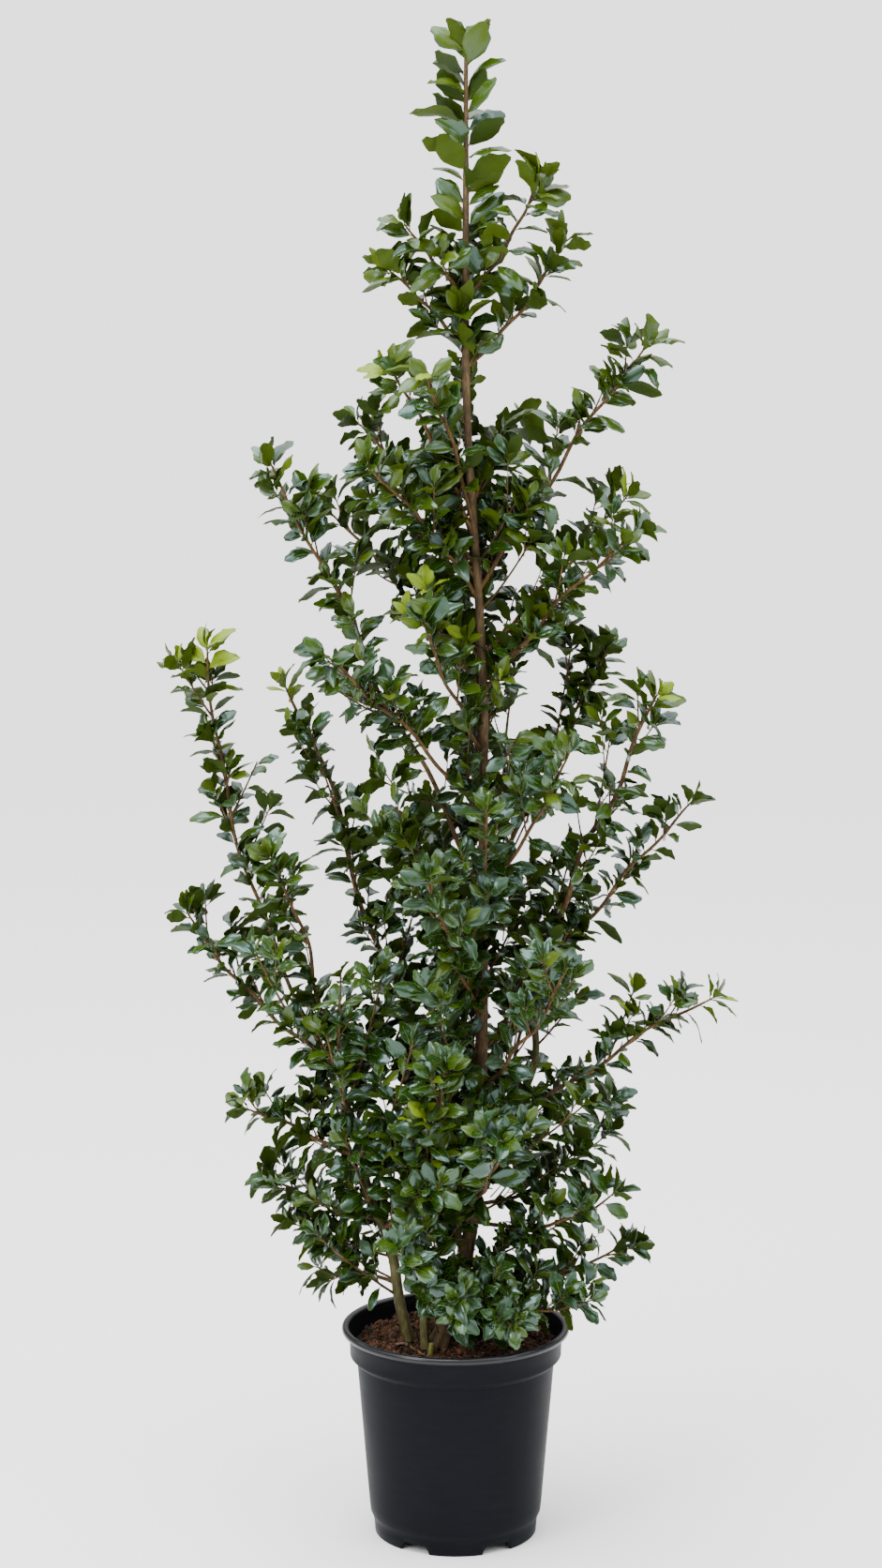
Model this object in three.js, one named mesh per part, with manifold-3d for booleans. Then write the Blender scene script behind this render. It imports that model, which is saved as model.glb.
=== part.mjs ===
// Holly tree in a nursery pot: a several-stemmed evergreen about 1.84 m tall, in a black 12 litre pot.
// Millimetres, +Z up. The origin is the middle of the pot's underside. +X is the tree's right, +Y its back.
//
// The pot, the soil, the trunk, the stems and the boughs are one solid each. Every leafy shoot is one more
// solid: a leading stem, twigs that branch off it by a seeded rule, and leaves fused on to both.

import * as THREE from "three";
import { mergeVertices } from "three/addons/utils/BufferGeometryUtils.js";
import Module from "manifold-3d";

const wasm = await Module();
wasm.setup();

// ---------------------------------------------------------------- driving sizes
const CLEAR = 0.3; // gap between pieces that touch

const RIM_RADIUS = 140;
const LIP_RADIUS = 4.6; // of the rolled lip's round section
const POT_HEIGHT = 262;
const POT_WALL = 2.2;
const COLLAR_RADIUS = 130.4;
const COLLAR_FOOT = 217.5; // height where the collar steps in to the body
const BODY_TOP_RADIUS = 121.5;
const BODY_FOOT_RADIUS = 105.2;
const BODY_FOOT = 27; // height where the body steps in to the foot ring
const FOOT_RING_TOP = 19;
const FOOT_RING_RADIUS = 100.5;
const FOOT_RING_WIDTH = 4;
const FLOOR_HEIGHT = 10.5; // underside of the pot's floor, above the ground
const CENTRE_PAD_RADIUS = 24; // the round pad in the middle of the floor that reaches the ground
const NOTCH_BEARINGS = [-120.5, -59.5, 59.5, 120.5]; // gaps in the foot ring
const NOTCH_WIDTH = 35.5;
const POT_SIDES = 32;

const SOIL_TOP = 244;
const SOIL_EDGE_DROP = 7; // how much lower the soil lies against the wall
const SOIL_EDGE_WIDTH = 14;

const TREE_TOP = 1798; // tip of the leader's wood
const TRUNK_FOOT = new THREE.Vector2(-21, -30); // where the trunk leaves the soil
const TRUNK_LEAN = 54; // how far it leans to the right above that
const LEAN_HEIGHT = 110; // in which it straightens
const TRUNK_RETURN = 22; // how far it comes back to the left higher up
const RETURN_FROM = 1000;
const RETURN_TO = 1450;
const TRUNK_RADIUS = 9.5;
const TIP_RADIUS = 1.8;
const FLARE = 4.5; // root flare at the soil
const FLARE_HEIGHT = 24;
const LEADER_FROM = 1600; // above this the leader is leafy and belongs to its own foliage

const SWAY = 0.012; // sideways wander of a limb, as a share of its length
const GOLDEN_TURN = THREE.MathUtils.degToRad(137.5); // from one leaf or twig round the stem to the next

const LEAF_LENGTH = 74; // of a middling one, which stands for a few real leaves of 35 to 45
const LEAF_WIDTH = 46;
const LEAF_WIDEST = 0.47; // share of the length from the root to the widest place
const LEAF_FOLD = 0.025; // how far the side corners stand above the root, as a share of the length
const LEAF_DROOP = 0.03; // how far the tip hangs below the root
const LEAF_SIZES = [1.3, 0.8, 0.15]; // of LEAF_LENGTH: at a stem's foot, at its tip, and the random part
const LEAF_SPACING = 34;
const LEAF_SPREAD = THREE.MathUtils.degToRad(52); // between a leaf and its stem
const LEAF_TWIST = THREE.MathUtils.degToRad(63); // the whole range of its turn about its own midrib
const SKYWARD = 0.3; // how far a leaf's face turns from the stem's tip to the sky
const FIRST_LEAF = 26; // distance of the first leaf from the limb that the shoot grows on
const LAST_LEAF = 0.97; // the share of a stem at which its side leaves end
const BLADE_START = 9; // where a leaf has left its stem and has to clear its neighbours

const TUFT_LEAVES = 3; // at a shoot's tip; a twig has one fewer
const TUFT_SPREAD = THREE.MathUtils.degToRad(33);
const TUFT_SIZE = 0.64; // of LEAF_LENGTH
const TUFT_SEAT = 2.5; // how far below the stem's tip its leaves are rooted

const SHOOT_SIDES = 3;
const SHOOT_RINGS_EVERY = 75;
const SHOOT_BASE = 3.3; // radius at a shoot's foot, where its row gives none
const SHOOT_TIP = 2.2;
const SPACE = 125; // how far from its shoot's leading stem a leaf's tip may stand

const TWIG_RADIUS = 1.6;
const TWIG_TAPER = 0.9;
const TWIG_SPREAD = THREE.MathUtils.degToRad(50);
const TWIG_RISE = 0.25; // how much a twig turns up towards the light
const TWIG_SEAT = 0.8; // where its foot lies inside the stem, from the middle
const TWIG_LAST = 0.94; // the share of a stem at which its twigs end
const TWIG_BARE = 0.35; // the share of a twig before its first leaf

// ---------------------------------------------------------------- the limbs
// on and from: the parent limb and the height at which this one leaves it
// bearing and reach: the way its tip lies from there, seen from above (0 is +X, 90 is +Y), and how far
// top: the height of its tip; sag: how far its middle bulges down and outwards, as a share of its length
// base: radius at its foot; bare: the share of it that is a bough of its own, before its foliage
// twigs and twig: how many side twigs its foliage has, and the longest one's length
// fork: a side shoot far longer than a twig, as [share along, bearing, reach, rise]
const STEMS = {
  left_stem: { foot: [-57, -12], bearing: -173, reach: 103, top: 614, sag: -0.02, base: 7, tip: 4.4 },
  front_stem: { foot: [-37, -46], bearing: -82, reach: 66, top: 500, sag: -0.1, base: 5.6, tip: 3 },
  right_stem: { on: "trunk", from: 420, bearing: 34, reach: 91, top: 708, sag: 0.11, base: 5.2, tip: 4 },
};

const SHOOTS = {
  leader: { twigs: 2, twig: 34 }, // the trunk's own top, from LEADER_FROM up
  left_01: { on: "left_stem", from: 315, bearing: 155, reach: 92, top: 308, sag: -0.12, twigs: 1, twig: 50 },
  left_02: { on: "left_stem", from: 400, bearing: 162, reach: 142, top: 440, sag: 0.04, twigs: 2, twig: 62 },
  left_03: { on: "left_stem", from: 470, bearing: -176, reach: 143, top: 541, sag: -0.03,
    twigs: 2, twig: 55 },
  left_04: { on: "left_stem", from: 604, bearing: 172, reach: 170, top: 777, sag: 0.06, bare: 0.3,
    twigs: 1, twig: 52 },
  left_05: { on: "left_stem", from: 612, bearing: 159, reach: 150, top: 1095, sag: 0.065, bare: 0.2,
    twigs: 1, twig: 48 },
  left_06: { on: "left_stem", from: 576, bearing: -137, reach: 97, top: 859, sag: -0.05,
    twigs: 2, twig: 60 },
  left_07: { on: "trunk", from: 340, bearing: 149, reach: 256, top: 1035, sag: -0.035, bare: 0.3,
    base: 4.6, twigs: 3, twig: 80, fork: [0.74, -137, 56, 127] },
  left_08: { on: "trunk", from: 803, bearing: -169, reach: 254, top: 1319, bare: 0.25, base: 4,
    twigs: 3, twig: 78 },
  left_09: { on: "trunk", from: 894, bearing: -145, reach: 228, top: 1106, sag: -0.02, twigs: 2, twig: 74 },
  left_10: { on: "trunk", from: 1047, bearing: 152, reach: 210, top: 1252, sag: -0.02, twigs: 2, twig: 74 },
  left_11: { on: "trunk", from: 1154, bearing: -142, reach: 163, top: 1320, sag: -0.03, twigs: 2, twig: 66 },
  left_12: { on: "trunk", from: 1193, bearing: 157, reach: 155, top: 1362, sag: -0.015, twigs: 2, twig: 62 },
  left_13: { on: "trunk", from: 1227, bearing: -155, reach: 108, top: 1428, sag: -0.03, twigs: 1, twig: 52 },
  left_14: { on: "trunk", from: 1244, bearing: -117, reach: 123, top: 1427, sag: -0.03, twigs: 1, twig: 52 },
  left_15: { on: "trunk", from: 1448, bearing: 168, reach: 92, top: 1542, sag: -0.03, twigs: 1, twig: 36 },
  left_16: { on: "trunk", from: 1508, bearing: -157, reach: 77, top: 1595, twigs: 0 },
  right_01: { on: "trunk", from: 293, bearing: -17, reach: 170, top: 312, sag: 0.07, twigs: 2, twig: 66 },
  right_02: { on: "trunk", from: 345, bearing: 12, reach: 200, top: 356, sag: 0.16, twigs: 2, twig: 64 },
  right_03: { on: "trunk", from: 396, bearing: -17, reach: 179, top: 444, sag: 0.13, twigs: 2, twig: 64 },
  right_04: { on: "trunk", from: 414, bearing: 24, reach: 189, top: 516, sag: 0.14, twigs: 2, twig: 70 },
  right_05: { on: "trunk", from: 466, bearing: -5, reach: 286, top: 678, sag: -0.045, bare: 0.3, base: 3.8,
    twigs: 1, twig: 55, fork: [0.58, 42, 43, 75] },
  right_06: { on: "right_stem", from: 689, bearing: -2, reach: 187, top: 905, twigs: 1, twig: 50 },
  right_07: { on: "right_stem", from: 704, bearing: -35, reach: 168, top: 1046, bare: 0.2, base: 3.8,
    twigs: 2, twig: 66 },
  right_08: { on: "trunk", from: 791, bearing: 18, reach: 158, top: 1090, bare: 0.25, base: 4,
    twigs: 3, twig: 74 },
  right_09: { on: "trunk", from: 1042, bearing: -21, reach: 192, top: 1242, sag: -0.035,
    twigs: 2, twig: 66 },
  right_10: { on: "trunk", from: 1087, bearing: 22, reach: 188, top: 1271, twigs: 2, twig: 66 },
  right_11: { on: "trunk", from: 1165, bearing: -6, reach: 198, top: 1456, sag: -0.015, bare: 0.2,
    base: 3.8, twigs: 2, twig: 56 },
  right_12: { on: "trunk", from: 1244, bearing: 60, reach: 110, top: 1375, sag: -0.16, twigs: 1, twig: 56 },
  right_13: { on: "trunk", from: 1429, bearing: 12, reach: 117, top: 1573, sag: 0.05, twigs: 0 },
  right_14: { on: "trunk", from: 1508, bearing: -10, reach: 83, top: 1643, sag: 0.05, twigs: 0 },
  front_01: { on: "front_stem", from: 498, bearing: -60, reach: 30, top: 620, twigs: 2, twig: 60 },
  front_02: { on: "trunk", from: 282, bearing: -52, reach: 118, top: 296, sag: -0.1, twigs: 2, twig: 56 },
  front_03: { on: "trunk", from: 420, bearing: -80, reach: 180, top: 540, sag: 0.05, twigs: 3, twig: 80 },
  front_04: { on: "trunk", from: 560, bearing: -58, reach: 185, top: 740, sag: 0.05, twigs: 3, twig: 80 },
  front_05: { on: "trunk", from: 650, bearing: -112, reach: 175, top: 850, sag: 0.04, twigs: 3, twig: 80 },
  front_06: { on: "trunk", from: 800, bearing: -50, reach: 155, top: 990, sag: 0.04, twigs: 2, twig: 76 },
  front_07: { on: "trunk", from: 970, bearing: -125, reach: 125, top: 1140, sag: 0.03, twigs: 2, twig: 66 },
  front_08: { on: "left_stem", from: 390, bearing: -62, reach: 120, top: 470, sag: 0.06,
    twigs: 3, twig: 70 },
  front_09: { on: "front_stem", from: 330, bearing: -110, reach: 110, top: 400, sag: 0.06,
    twigs: 3, twig: 66 },
  back_01: { on: "trunk", from: 380, bearing: 108, reach: 195, top: 490, sag: 0.06, twigs: 3, twig: 80 },
  back_02: { on: "trunk", from: 520, bearing: 62, reach: 205, top: 700, sag: 0.06, twigs: 3, twig: 82 },
  back_03: { on: "trunk", from: 650, bearing: 112, reach: 195, top: 860, sag: 0.05, twigs: 3, twig: 82 },
  back_04: { on: "trunk", from: 800, bearing: 78, reach: 170, top: 1010, sag: 0.04, twigs: 3, twig: 78 },
  back_05: { on: "trunk", from: 960, bearing: 105, reach: 135, top: 1150, sag: 0.04, twigs: 2, twig: 66 },
  back_06: { on: "trunk", from: 1110, bearing: 84, reach: 100, top: 1270, sag: 0.03, twigs: 1, twig: 56 },
};

// ---------------------------------------------------------------- small helpers
// Seeded numbers from 0 to 1, by the rule next = previous * 48271 modulo 2147483647.
function seededDraws(seed) {
  let state = seed * 7919 + 12345;
  return () => {
    state = (state * 48271) % 2147483647;
    return state / 2147483647;
  };
}

// A closed geometry, with its shared corners merged, as a manifold-3d solid.
function solidOf(geometry) {
  const bare = geometry.index ? geometry.toNonIndexed() : geometry.clone();
  bare.deleteAttribute("normal");
  bare.deleteAttribute("uv");
  const merged = mergeVertices(bare, 1e-4);
  return new wasm.Manifold(
    new wasm.Mesh({
      numProp: 3,
      vertProperties: new Float32Array(merged.attributes.position.array),
      triVerts: new Uint32Array(merged.index.array),
    }),
  );
}

// A solid back as a three.js geometry.
function geometryOf(solid) {
  const mesh = solid.getMesh();
  const geometry = new THREE.BufferGeometry();
  const places = new Float32Array(mesh.vertProperties);
  geometry.setAttribute("position", new THREE.BufferAttribute(places, 3));
  geometry.setIndex(new THREE.BufferAttribute(new Uint32Array(mesh.triVerts), 1));
  geometry.computeVertexNormals();
  return geometry;
}

function levelDirection(bearing) {
  const angle = THREE.MathUtils.degToRad(bearing);
  return new THREE.Vector3(Math.cos(angle), Math.sin(angle), 0);
}

// ---------------------------------------------------------------- limb centre lines
// A limb is { at(share), radius(share), side, length }: side is a level direction square to its plane.
function trunkLimb() {
  const height = TREE_TOP - SOIL_TOP;
  const at = (share) => {
    const z = SOIL_TOP + share * height;
    const fade = Math.exp(-(z - SOIL_TOP) / LEAN_HEIGHT);
    const back = TRUNK_RETURN * THREE.MathUtils.smoothstep(z, RETURN_FROM, RETURN_TO);
    return new THREE.Vector3(
      TRUNK_FOOT.x + TRUNK_LEAN * (1 - fade) - back,
      TRUNK_FOOT.y * fade,
      z,
    );
  };
  const radius = (share) =>
    TIP_RADIUS +
    (TRUNK_RADIUS - TIP_RADIUS) * (1 - share) ** 0.8 +
    FLARE * Math.exp((-share * height) / FLARE_HEIGHT);
  return { at, radius, side: new THREE.Vector3(0, 1, 0), length: height };
}

// A parabola from foot to tip whose middle stands off the straight line by sag, with a slight sway.
function curvedLimb(foot, row, seed) {
  const out = levelDirection(row.bearing);
  const tip = foot.clone().addScaledVector(out, row.reach);
  tip.z = row.top;
  const chord = tip.clone().sub(foot);
  const length = chord.length();
  const side = new THREE.Vector3(-out.y, out.x, 0);
  const below = side.clone().cross(chord).normalize();
  const draw = seededDraws(seed + 500);
  const turns = [draw(), draw()];
  const at = (share) => {
    const hump = 4 * share * (1 - share);
    const sway = SWAY * length * hump;
    return foot
      .clone()
      .addScaledVector(chord, share)
      .addScaledVector(below, (row.sag ?? 0) * length * hump)
      .addScaledVector(side, sway * Math.sin(2 * Math.PI * (1.7 * share + turns[0])))
      .addScaledVector(below, sway * Math.sin(2 * Math.PI * (2.3 * share + turns[1])));
  };
  const base = row.base ?? SHOOT_BASE;
  const end = row.tip ?? SHOOT_TIP;
  const radius = (share) => base + (end - base) * share;
  return { at, radius, side, length };
}

function directionAt(limb, share) {
  const step = 1e-3;
  const middle = THREE.MathUtils.clamp(share, step, 1 - step);
  return limb.at(middle + step).sub(limb.at(middle - step)).normalize();
}

// The share of the limb at which it passes a height, by halving.
function shareAtHeight(limb, height) {
  let low = 0;
  let high = 1;
  for (let i = 0; i < 40; i += 1) {
    const middle = (low + high) / 2;
    if (limb.at(middle).z < height) low = middle;
    else high = middle;
  }
  return low;
}

// ---------------------------------------------------------------- wood
// A round tapering tube along a limb, from one share of it to another: a closed cylinder of unit radius
// whose rings are carried to the limb's centre line. grown is added to its radius and to both ends.
function tube(limb, from, to, sides, rings, grown = 0) {
  const geometry = new THREE.CylinderGeometry(1, 1, 1, sides, rings);
  const place = geometry.attributes.position;
  const corner = new THREE.Vector3();
  const extra = grown / limb.length;
  for (let i = 0; i < place.count; i += 1) {
    corner.fromBufferAttribute(place, i);
    const share = from + (to - from) * (corner.y + 0.5) + 2 * extra * corner.y;
    const along = directionAt(limb, share);
    const side = limb.side;
    const third = side.clone().cross(along).normalize();
    const radius = limb.radius(share) + grown;
    const spot = limb
      .at(share)
      .addScaledVector(side, corner.x * radius)
      .addScaledVector(third, corner.z * radius);
    place.setXYZ(i, spot.x, spot.y, spot.z);
  }
  return solidOf(geometry);
}

// A straight three-sided twig from one point to another, a little thinner at its tip.
function twigSolid(foot, tip) {
  const length = foot.distanceTo(tip);
  const geometry = new THREE.CylinderGeometry(TWIG_RADIUS * TWIG_TAPER, TWIG_RADIUS, length, 3, 1);
  const turn = new THREE.Quaternion().setFromUnitVectors(
    new THREE.Vector3(0, 1, 0),
    tip.clone().sub(foot).divideScalar(length),
  );
  geometry.applyQuaternion(turn);
  const middle = foot.clone().add(tip).multiplyScalar(0.5);
  geometry.translate(middle.x, middle.y, middle.z);
  return solidOf(geometry);
}

// ---------------------------------------------------------------- leaves
// A leaf has four corners and four faces: its root, its tip and the two side corners, which the fold lifts
// above the midrib. It is thickest at the middle of the midrib and thins out to its edges.
function leafSolid(root, direction, face, size) {
  const across = direction.clone().cross(face).normalize();
  const length = LEAF_LENGTH * size;
  const corner = (along, sideways, up) =>
    root
      .clone()
      .addScaledVector(direction, along * length)
      .addScaledVector(across, (sideways * LEAF_WIDTH * size) / 2)
      .addScaledVector(face, up * length);
  const corners = [corner(0, 0, 0), corner(1, 0, -LEAF_DROOP)];
  for (const sideways of [-1, 1]) corners.push(corner(LEAF_WIDEST, sideways, LEAF_FOLD));
  const geometry = new THREE.BufferGeometry().setFromPoints(corners);
  geometry.setIndex([0, 1, 3, 0, 2, 1, 0, 3, 2, 1, 2, 3]);
  return solidOf(geometry);
}

// The way a leaf points and the way its upper face looks, at a point of a stem with this direction. The face
// looks towards the stem's tip and the sky, then turns about the leaf's midrib by the twist.
function leafPose(along, side, roll, spread, skyward, twist = 0) {
  const third = side.clone().cross(along).normalize();
  const outwards = side
    .clone()
    .multiplyScalar(Math.cos(roll))
    .addScaledVector(third, Math.sin(roll));
  const direction = along
    .clone()
    .multiplyScalar(Math.cos(spread))
    .addScaledVector(outwards, Math.sin(spread))
    .normalize();
  const face = along.clone().lerp(new THREE.Vector3(0, 0, 1), skyward);
  face.addScaledVector(direction, -face.dot(direction)).normalize();
  return { direction, face: face.applyAxisAngle(direction, twist) };
}

// ---------------------------------------------------------------- foliage
// The twigs of a shoot, each { foot, tip }: its fork first, then side twigs, shorter towards the tip.
function twigsOf(limb, row, start, draw) {
  const twigs = [];
  if (row.fork) {
    const [share, bearing, reach, rise] = row.fork;
    const foot = limb.at(share);
    const tip = foot.clone().addScaledVector(levelDirection(bearing), reach);
    tip.z += rise;
    twigs.push({ foot, tip });
  }
  const first = start + 0.1;
  for (let k = 0; k < row.twigs; k += 1) {
    const share = first + ((TWIG_LAST - first) * (k + 0.3 + 0.5 * draw())) / row.twigs;
    const roll = 2 * Math.PI * draw();
    const spread = TWIG_SPREAD * (0.85 + 0.3 * draw());
    const length = row.twig * (1 - 0.4 * share) * (0.85 + 0.35 * draw());
    const { direction } = leafPose(directionAt(limb, share), limb.side, roll, spread, 0);
    direction.z += TWIG_RISE;
    direction.normalize();
    const foot = limb.at(share).addScaledVector(direction, TWIG_SEAT);
    twigs.push({ foot, tip: foot.clone().addScaledVector(direction, length) });
  }
  return twigs;
}

// Places for leaves along a straight or curved stretch, each { root, direction, face, size }.
function leavesAlong(limb, from, to, length, draw) {
  const leaves = [];
  const count = Math.max(1, Math.round(((to - from) * length) / LEAF_SPACING));
  const [atFoot, atTip, random] = LEAF_SIZES;
  let roll = 2 * Math.PI * draw();
  for (let k = 0; k < count; k += 1) {
    const share = from + ((to - from) * (k + 0.6)) / count;
    const along = directionAt(limb, share);
    const spread = LEAF_SPREAD * (0.9 + 0.2 * draw());
    const pose = leafPose(along, limb.side, roll, spread, SKYWARD, LEAF_TWIST * (draw() - 0.5));
    const size = THREE.MathUtils.lerp(atFoot, atTip, share) + random * draw();
    leaves.push({ root: limb.at(share), ...pose, size });
    roll += GOLDEN_TURN;
  }
  return leaves;
}

// The tuft at a tip: leaves spread evenly round it, nearly in line with the stem.
function tuft(limb, count, draw) {
  const along = directionAt(limb, 1);
  const root = limb.at(1).addScaledVector(along, -TUFT_SEAT);
  const leaves = [];
  const turn = 2 * Math.PI * draw();
  for (let k = 0; k < count; k += 1) {
    const roll = turn + (k * 2 * Math.PI) / count;
    leaves.push({ root, ...leafPose(along, limb.side, roll, TUFT_SPREAD, 0), size: TUFT_SIZE });
  }
  return leaves;
}

function straightLimb(foot, tip) {
  const along = tip.clone().sub(foot);
  const level = new THREE.Vector3(-along.y, along.x, 0);
  if (level.lengthSq() < 1e-6) level.set(1, 0, 0);
  return { at: (share) => foot.clone().addScaledVector(along, share), side: level.normalize() };
}

// ---------------------------------------------------------------- placing pieces clear of each other
const boxed = (solid) => ({ solid, box: solid.boundingBox() });

function boxesApart(a, b) {
  return [0, 1, 2].some((i) => a.min[i] > b.max[i] + 1 || b.min[i] > a.max[i] + 1);
}

function touches(piece, others) {
  return others.some(
    (other) => !boxesApart(piece.box, other.box) && piece.solid.minGap(other.solid, 1) < CLEAR,
  );
}

// The largest of the separate bodies that a cut has left.
function largest(solid) {
  return solid.decompose().sort((a, b) => b.volume() - a.volume())[0];
}

// ---------------------------------------------------------------- pot and soil
// Half sections for lathes: points are (radius, height), from the axis round to the axis again.
function lathe(points) {
  const section = points.map(([radius, height]) => new THREE.Vector2(radius, height));
  const geometry = new THREE.LatheGeometry(section, POT_SIDES);
  geometry.rotateX(Math.PI / 2);
  return solidOf(geometry);
}

function potSolid() {
  const lipMiddle = RIM_RADIUS - LIP_RADIUS;
  const lipHeight = POT_HEIGHT - LIP_RADIUS;
  const lip = [-90, -30, 30, 90, 150].map((turn) => {
    const angle = THREE.MathUtils.degToRad(turn);
    const reach = LIP_RADIUS / Math.cos(THREE.MathUtils.degToRad(30));
    return turn === 90
      ? [lipMiddle, POT_HEIGHT]
      : [lipMiddle + reach * Math.cos(angle), lipHeight + LIP_RADIUS * Math.sin(angle)];
  });
  const ringInner = FOOT_RING_RADIUS - FOOT_RING_WIDTH;
  const pot = lathe([
    [0, 0],
    [CENTRE_PAD_RADIUS, 0],
    [CENTRE_PAD_RADIUS + 5, FLOOR_HEIGHT],
    [ringInner - 2, FLOOR_HEIGHT],
    [ringInner, 0],
    [FOOT_RING_RADIUS - 1, 0],
    [FOOT_RING_RADIUS + 1, FOOT_RING_TOP],
    [BODY_FOOT_RADIUS, BODY_FOOT],
    [BODY_TOP_RADIUS, COLLAR_FOOT],
    [COLLAR_RADIUS - 1, COLLAR_FOOT + 8],
    [COLLAR_RADIUS, lipHeight - LIP_RADIUS],
    ...lip,
    [COLLAR_RADIUS - POT_WALL, lipHeight - LIP_RADIUS],
    [COLLAR_RADIUS - 1 - POT_WALL, COLLAR_FOOT + 9],
    [BODY_TOP_RADIUS - POT_WALL, COLLAR_FOOT],
    [FOOT_RING_RADIUS + 1 - POT_WALL, FOOT_RING_TOP],
    [FOOT_RING_RADIUS - POT_WALL, FLOOR_HEIGHT + POT_WALL],
    [0, FLOOR_HEIGHT + POT_WALL],
  ]);
  const notches = NOTCH_BEARINGS.map((bearing) => {
    const box = new THREE.BoxGeometry(24, NOTCH_WIDTH, 2 * FLOOR_HEIGHT);
    box.translate(FOOT_RING_RADIUS, 0, -0.5);
    box.rotateZ(THREE.MathUtils.degToRad(bearing));
    return solidOf(box);
  });
  return pot.subtract(wasm.Manifold.union(notches));
}

// The soil follows the pot's inside, a small gap away, and dips towards the wall.
function soilSolid() {
  const floor = FLOOR_HEIGHT + POT_WALL + CLEAR;
  const gap = POT_WALL + CLEAR * 1.3;
  const edgeRadius = COLLAR_RADIUS - 1 - gap;
  return lathe([
    [0, floor],
    [FOOT_RING_RADIUS - gap, floor],
    [FOOT_RING_RADIUS + 1 - gap, FOOT_RING_TOP],
    [BODY_TOP_RADIUS - gap, COLLAR_FOOT],
    [edgeRadius, COLLAR_FOOT + 9.5],
    [edgeRadius, SOIL_TOP - SOIL_EDGE_DROP],
    [edgeRadius - SOIL_EDGE_WIDTH, SOIL_TOP],
    [0, SOIL_TOP],
  ]);
}

// ---------------------------------------------------------------- the tree
const paint = (colour, roughness) =>
  new THREE.MeshStandardMaterial({ color: colour, roughness, metalness: 0 });
const POT_BLACK = paint(0x1b1d20, 0.45);
const SOIL_BROWN = paint(0x3a2418, 0.95);
const BARK = paint(0x6b5138, 0.8);
const LEAF_GREEN = paint(0x24401f, 0.35);

const tree = new THREE.Group();
function addNode(name, solid, material) {
  const mesh = new THREE.Mesh(geometryOf(solid), material);
  mesh.name = name;
  tree.add(mesh);
}

// Every solid that foliage must keep clear of, by node name.
const built = {};
function build(name, solid, material) {
  built[name] = boxed(solid);
  addNode(name, solid, material);
}

build("pot", potSolid(), POT_BLACK);
build("soil", soilSolid(), SOIL_BROWN);

// The trunk stands on the soil, cut flat, and ends where the leader's foliage begins.
const limbs = { trunk: trunkLimb() };
const leaderShare = shareAtHeight(limbs.trunk, LEADER_FROM);
const ground = new THREE.BoxGeometry(400, 400, 40).translate(0, 0, SOIL_TOP - 20 + CLEAR);
const groundSolid = solidOf(ground);

// The wood of a trunk or stem, or the same shape a clear gap larger all round.
function parentTube(name, grown = 0) {
  const [end, sides, rings] = name === "trunk" ? [leaderShare, 7, 18] : [1, 6, 6];
  return tube(limbs[name], 0, end, sides, rings, grown / Math.cos(Math.PI / sides));
}
build("trunk", parentTube("trunk").subtract(groundSolid), BARK);

// A limb cut clear of the limb that it grows from.
const cutClear = (solid, parent) => largest(solid.subtract(parentTube(parent, 1.3 * CLEAR)));

let seed = 1;
for (const [name, row] of Object.entries(STEMS)) {
  const foot = row.on
    ? limbs[row.on].at(shareAtHeight(limbs[row.on], row.from))
    : new THREE.Vector3(row.foot[0], row.foot[1], SOIL_TOP);
  limbs[name] = curvedLimb(foot, row, seed);
  const solid = parentTube(name);
  build(name, row.on ? cutClear(solid, row.on) : solid.subtract(groundSolid), BARK);
  seed += 1;
}

// Each shoot's limb, its bough if it has a bare one, and the leading stem of its foliage.
const leading = {};
for (const [name, row] of Object.entries(SHOOTS)) {
  const bare = row.bare ?? 0;
  if (name === "leader") {
    const from = leaderShare + CLEAR / limbs.trunk.length;
    leading[name] = { limb: limbs.trunk, from, ...boxed(tube(limbs.trunk, from, 1, SHOOT_SIDES, 4)) };
  } else {
    const parent = limbs[row.on];
    const limb = curvedLimb(parent.at(shareAtHeight(parent, row.from)), row, seed);
    const from = bare ? bare + CLEAR / limb.length : 0;
    const rings = Math.max(2, Math.round(((1 - from) * limb.length) / SHOOT_RINGS_EVERY));
    const stem = tube(limb, from, 1, SHOOT_SIDES, rings);
    if (bare) build("bough_" + name, cutClear(tube(limb, 0, bare, 5, 3), row.on), BARK);
    limbs[name] = limb;
    leading[name] = { limb, from, ...boxed(bare ? stem : cutClear(stem, row.on)) };
  }
  seed += 1;
}

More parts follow.
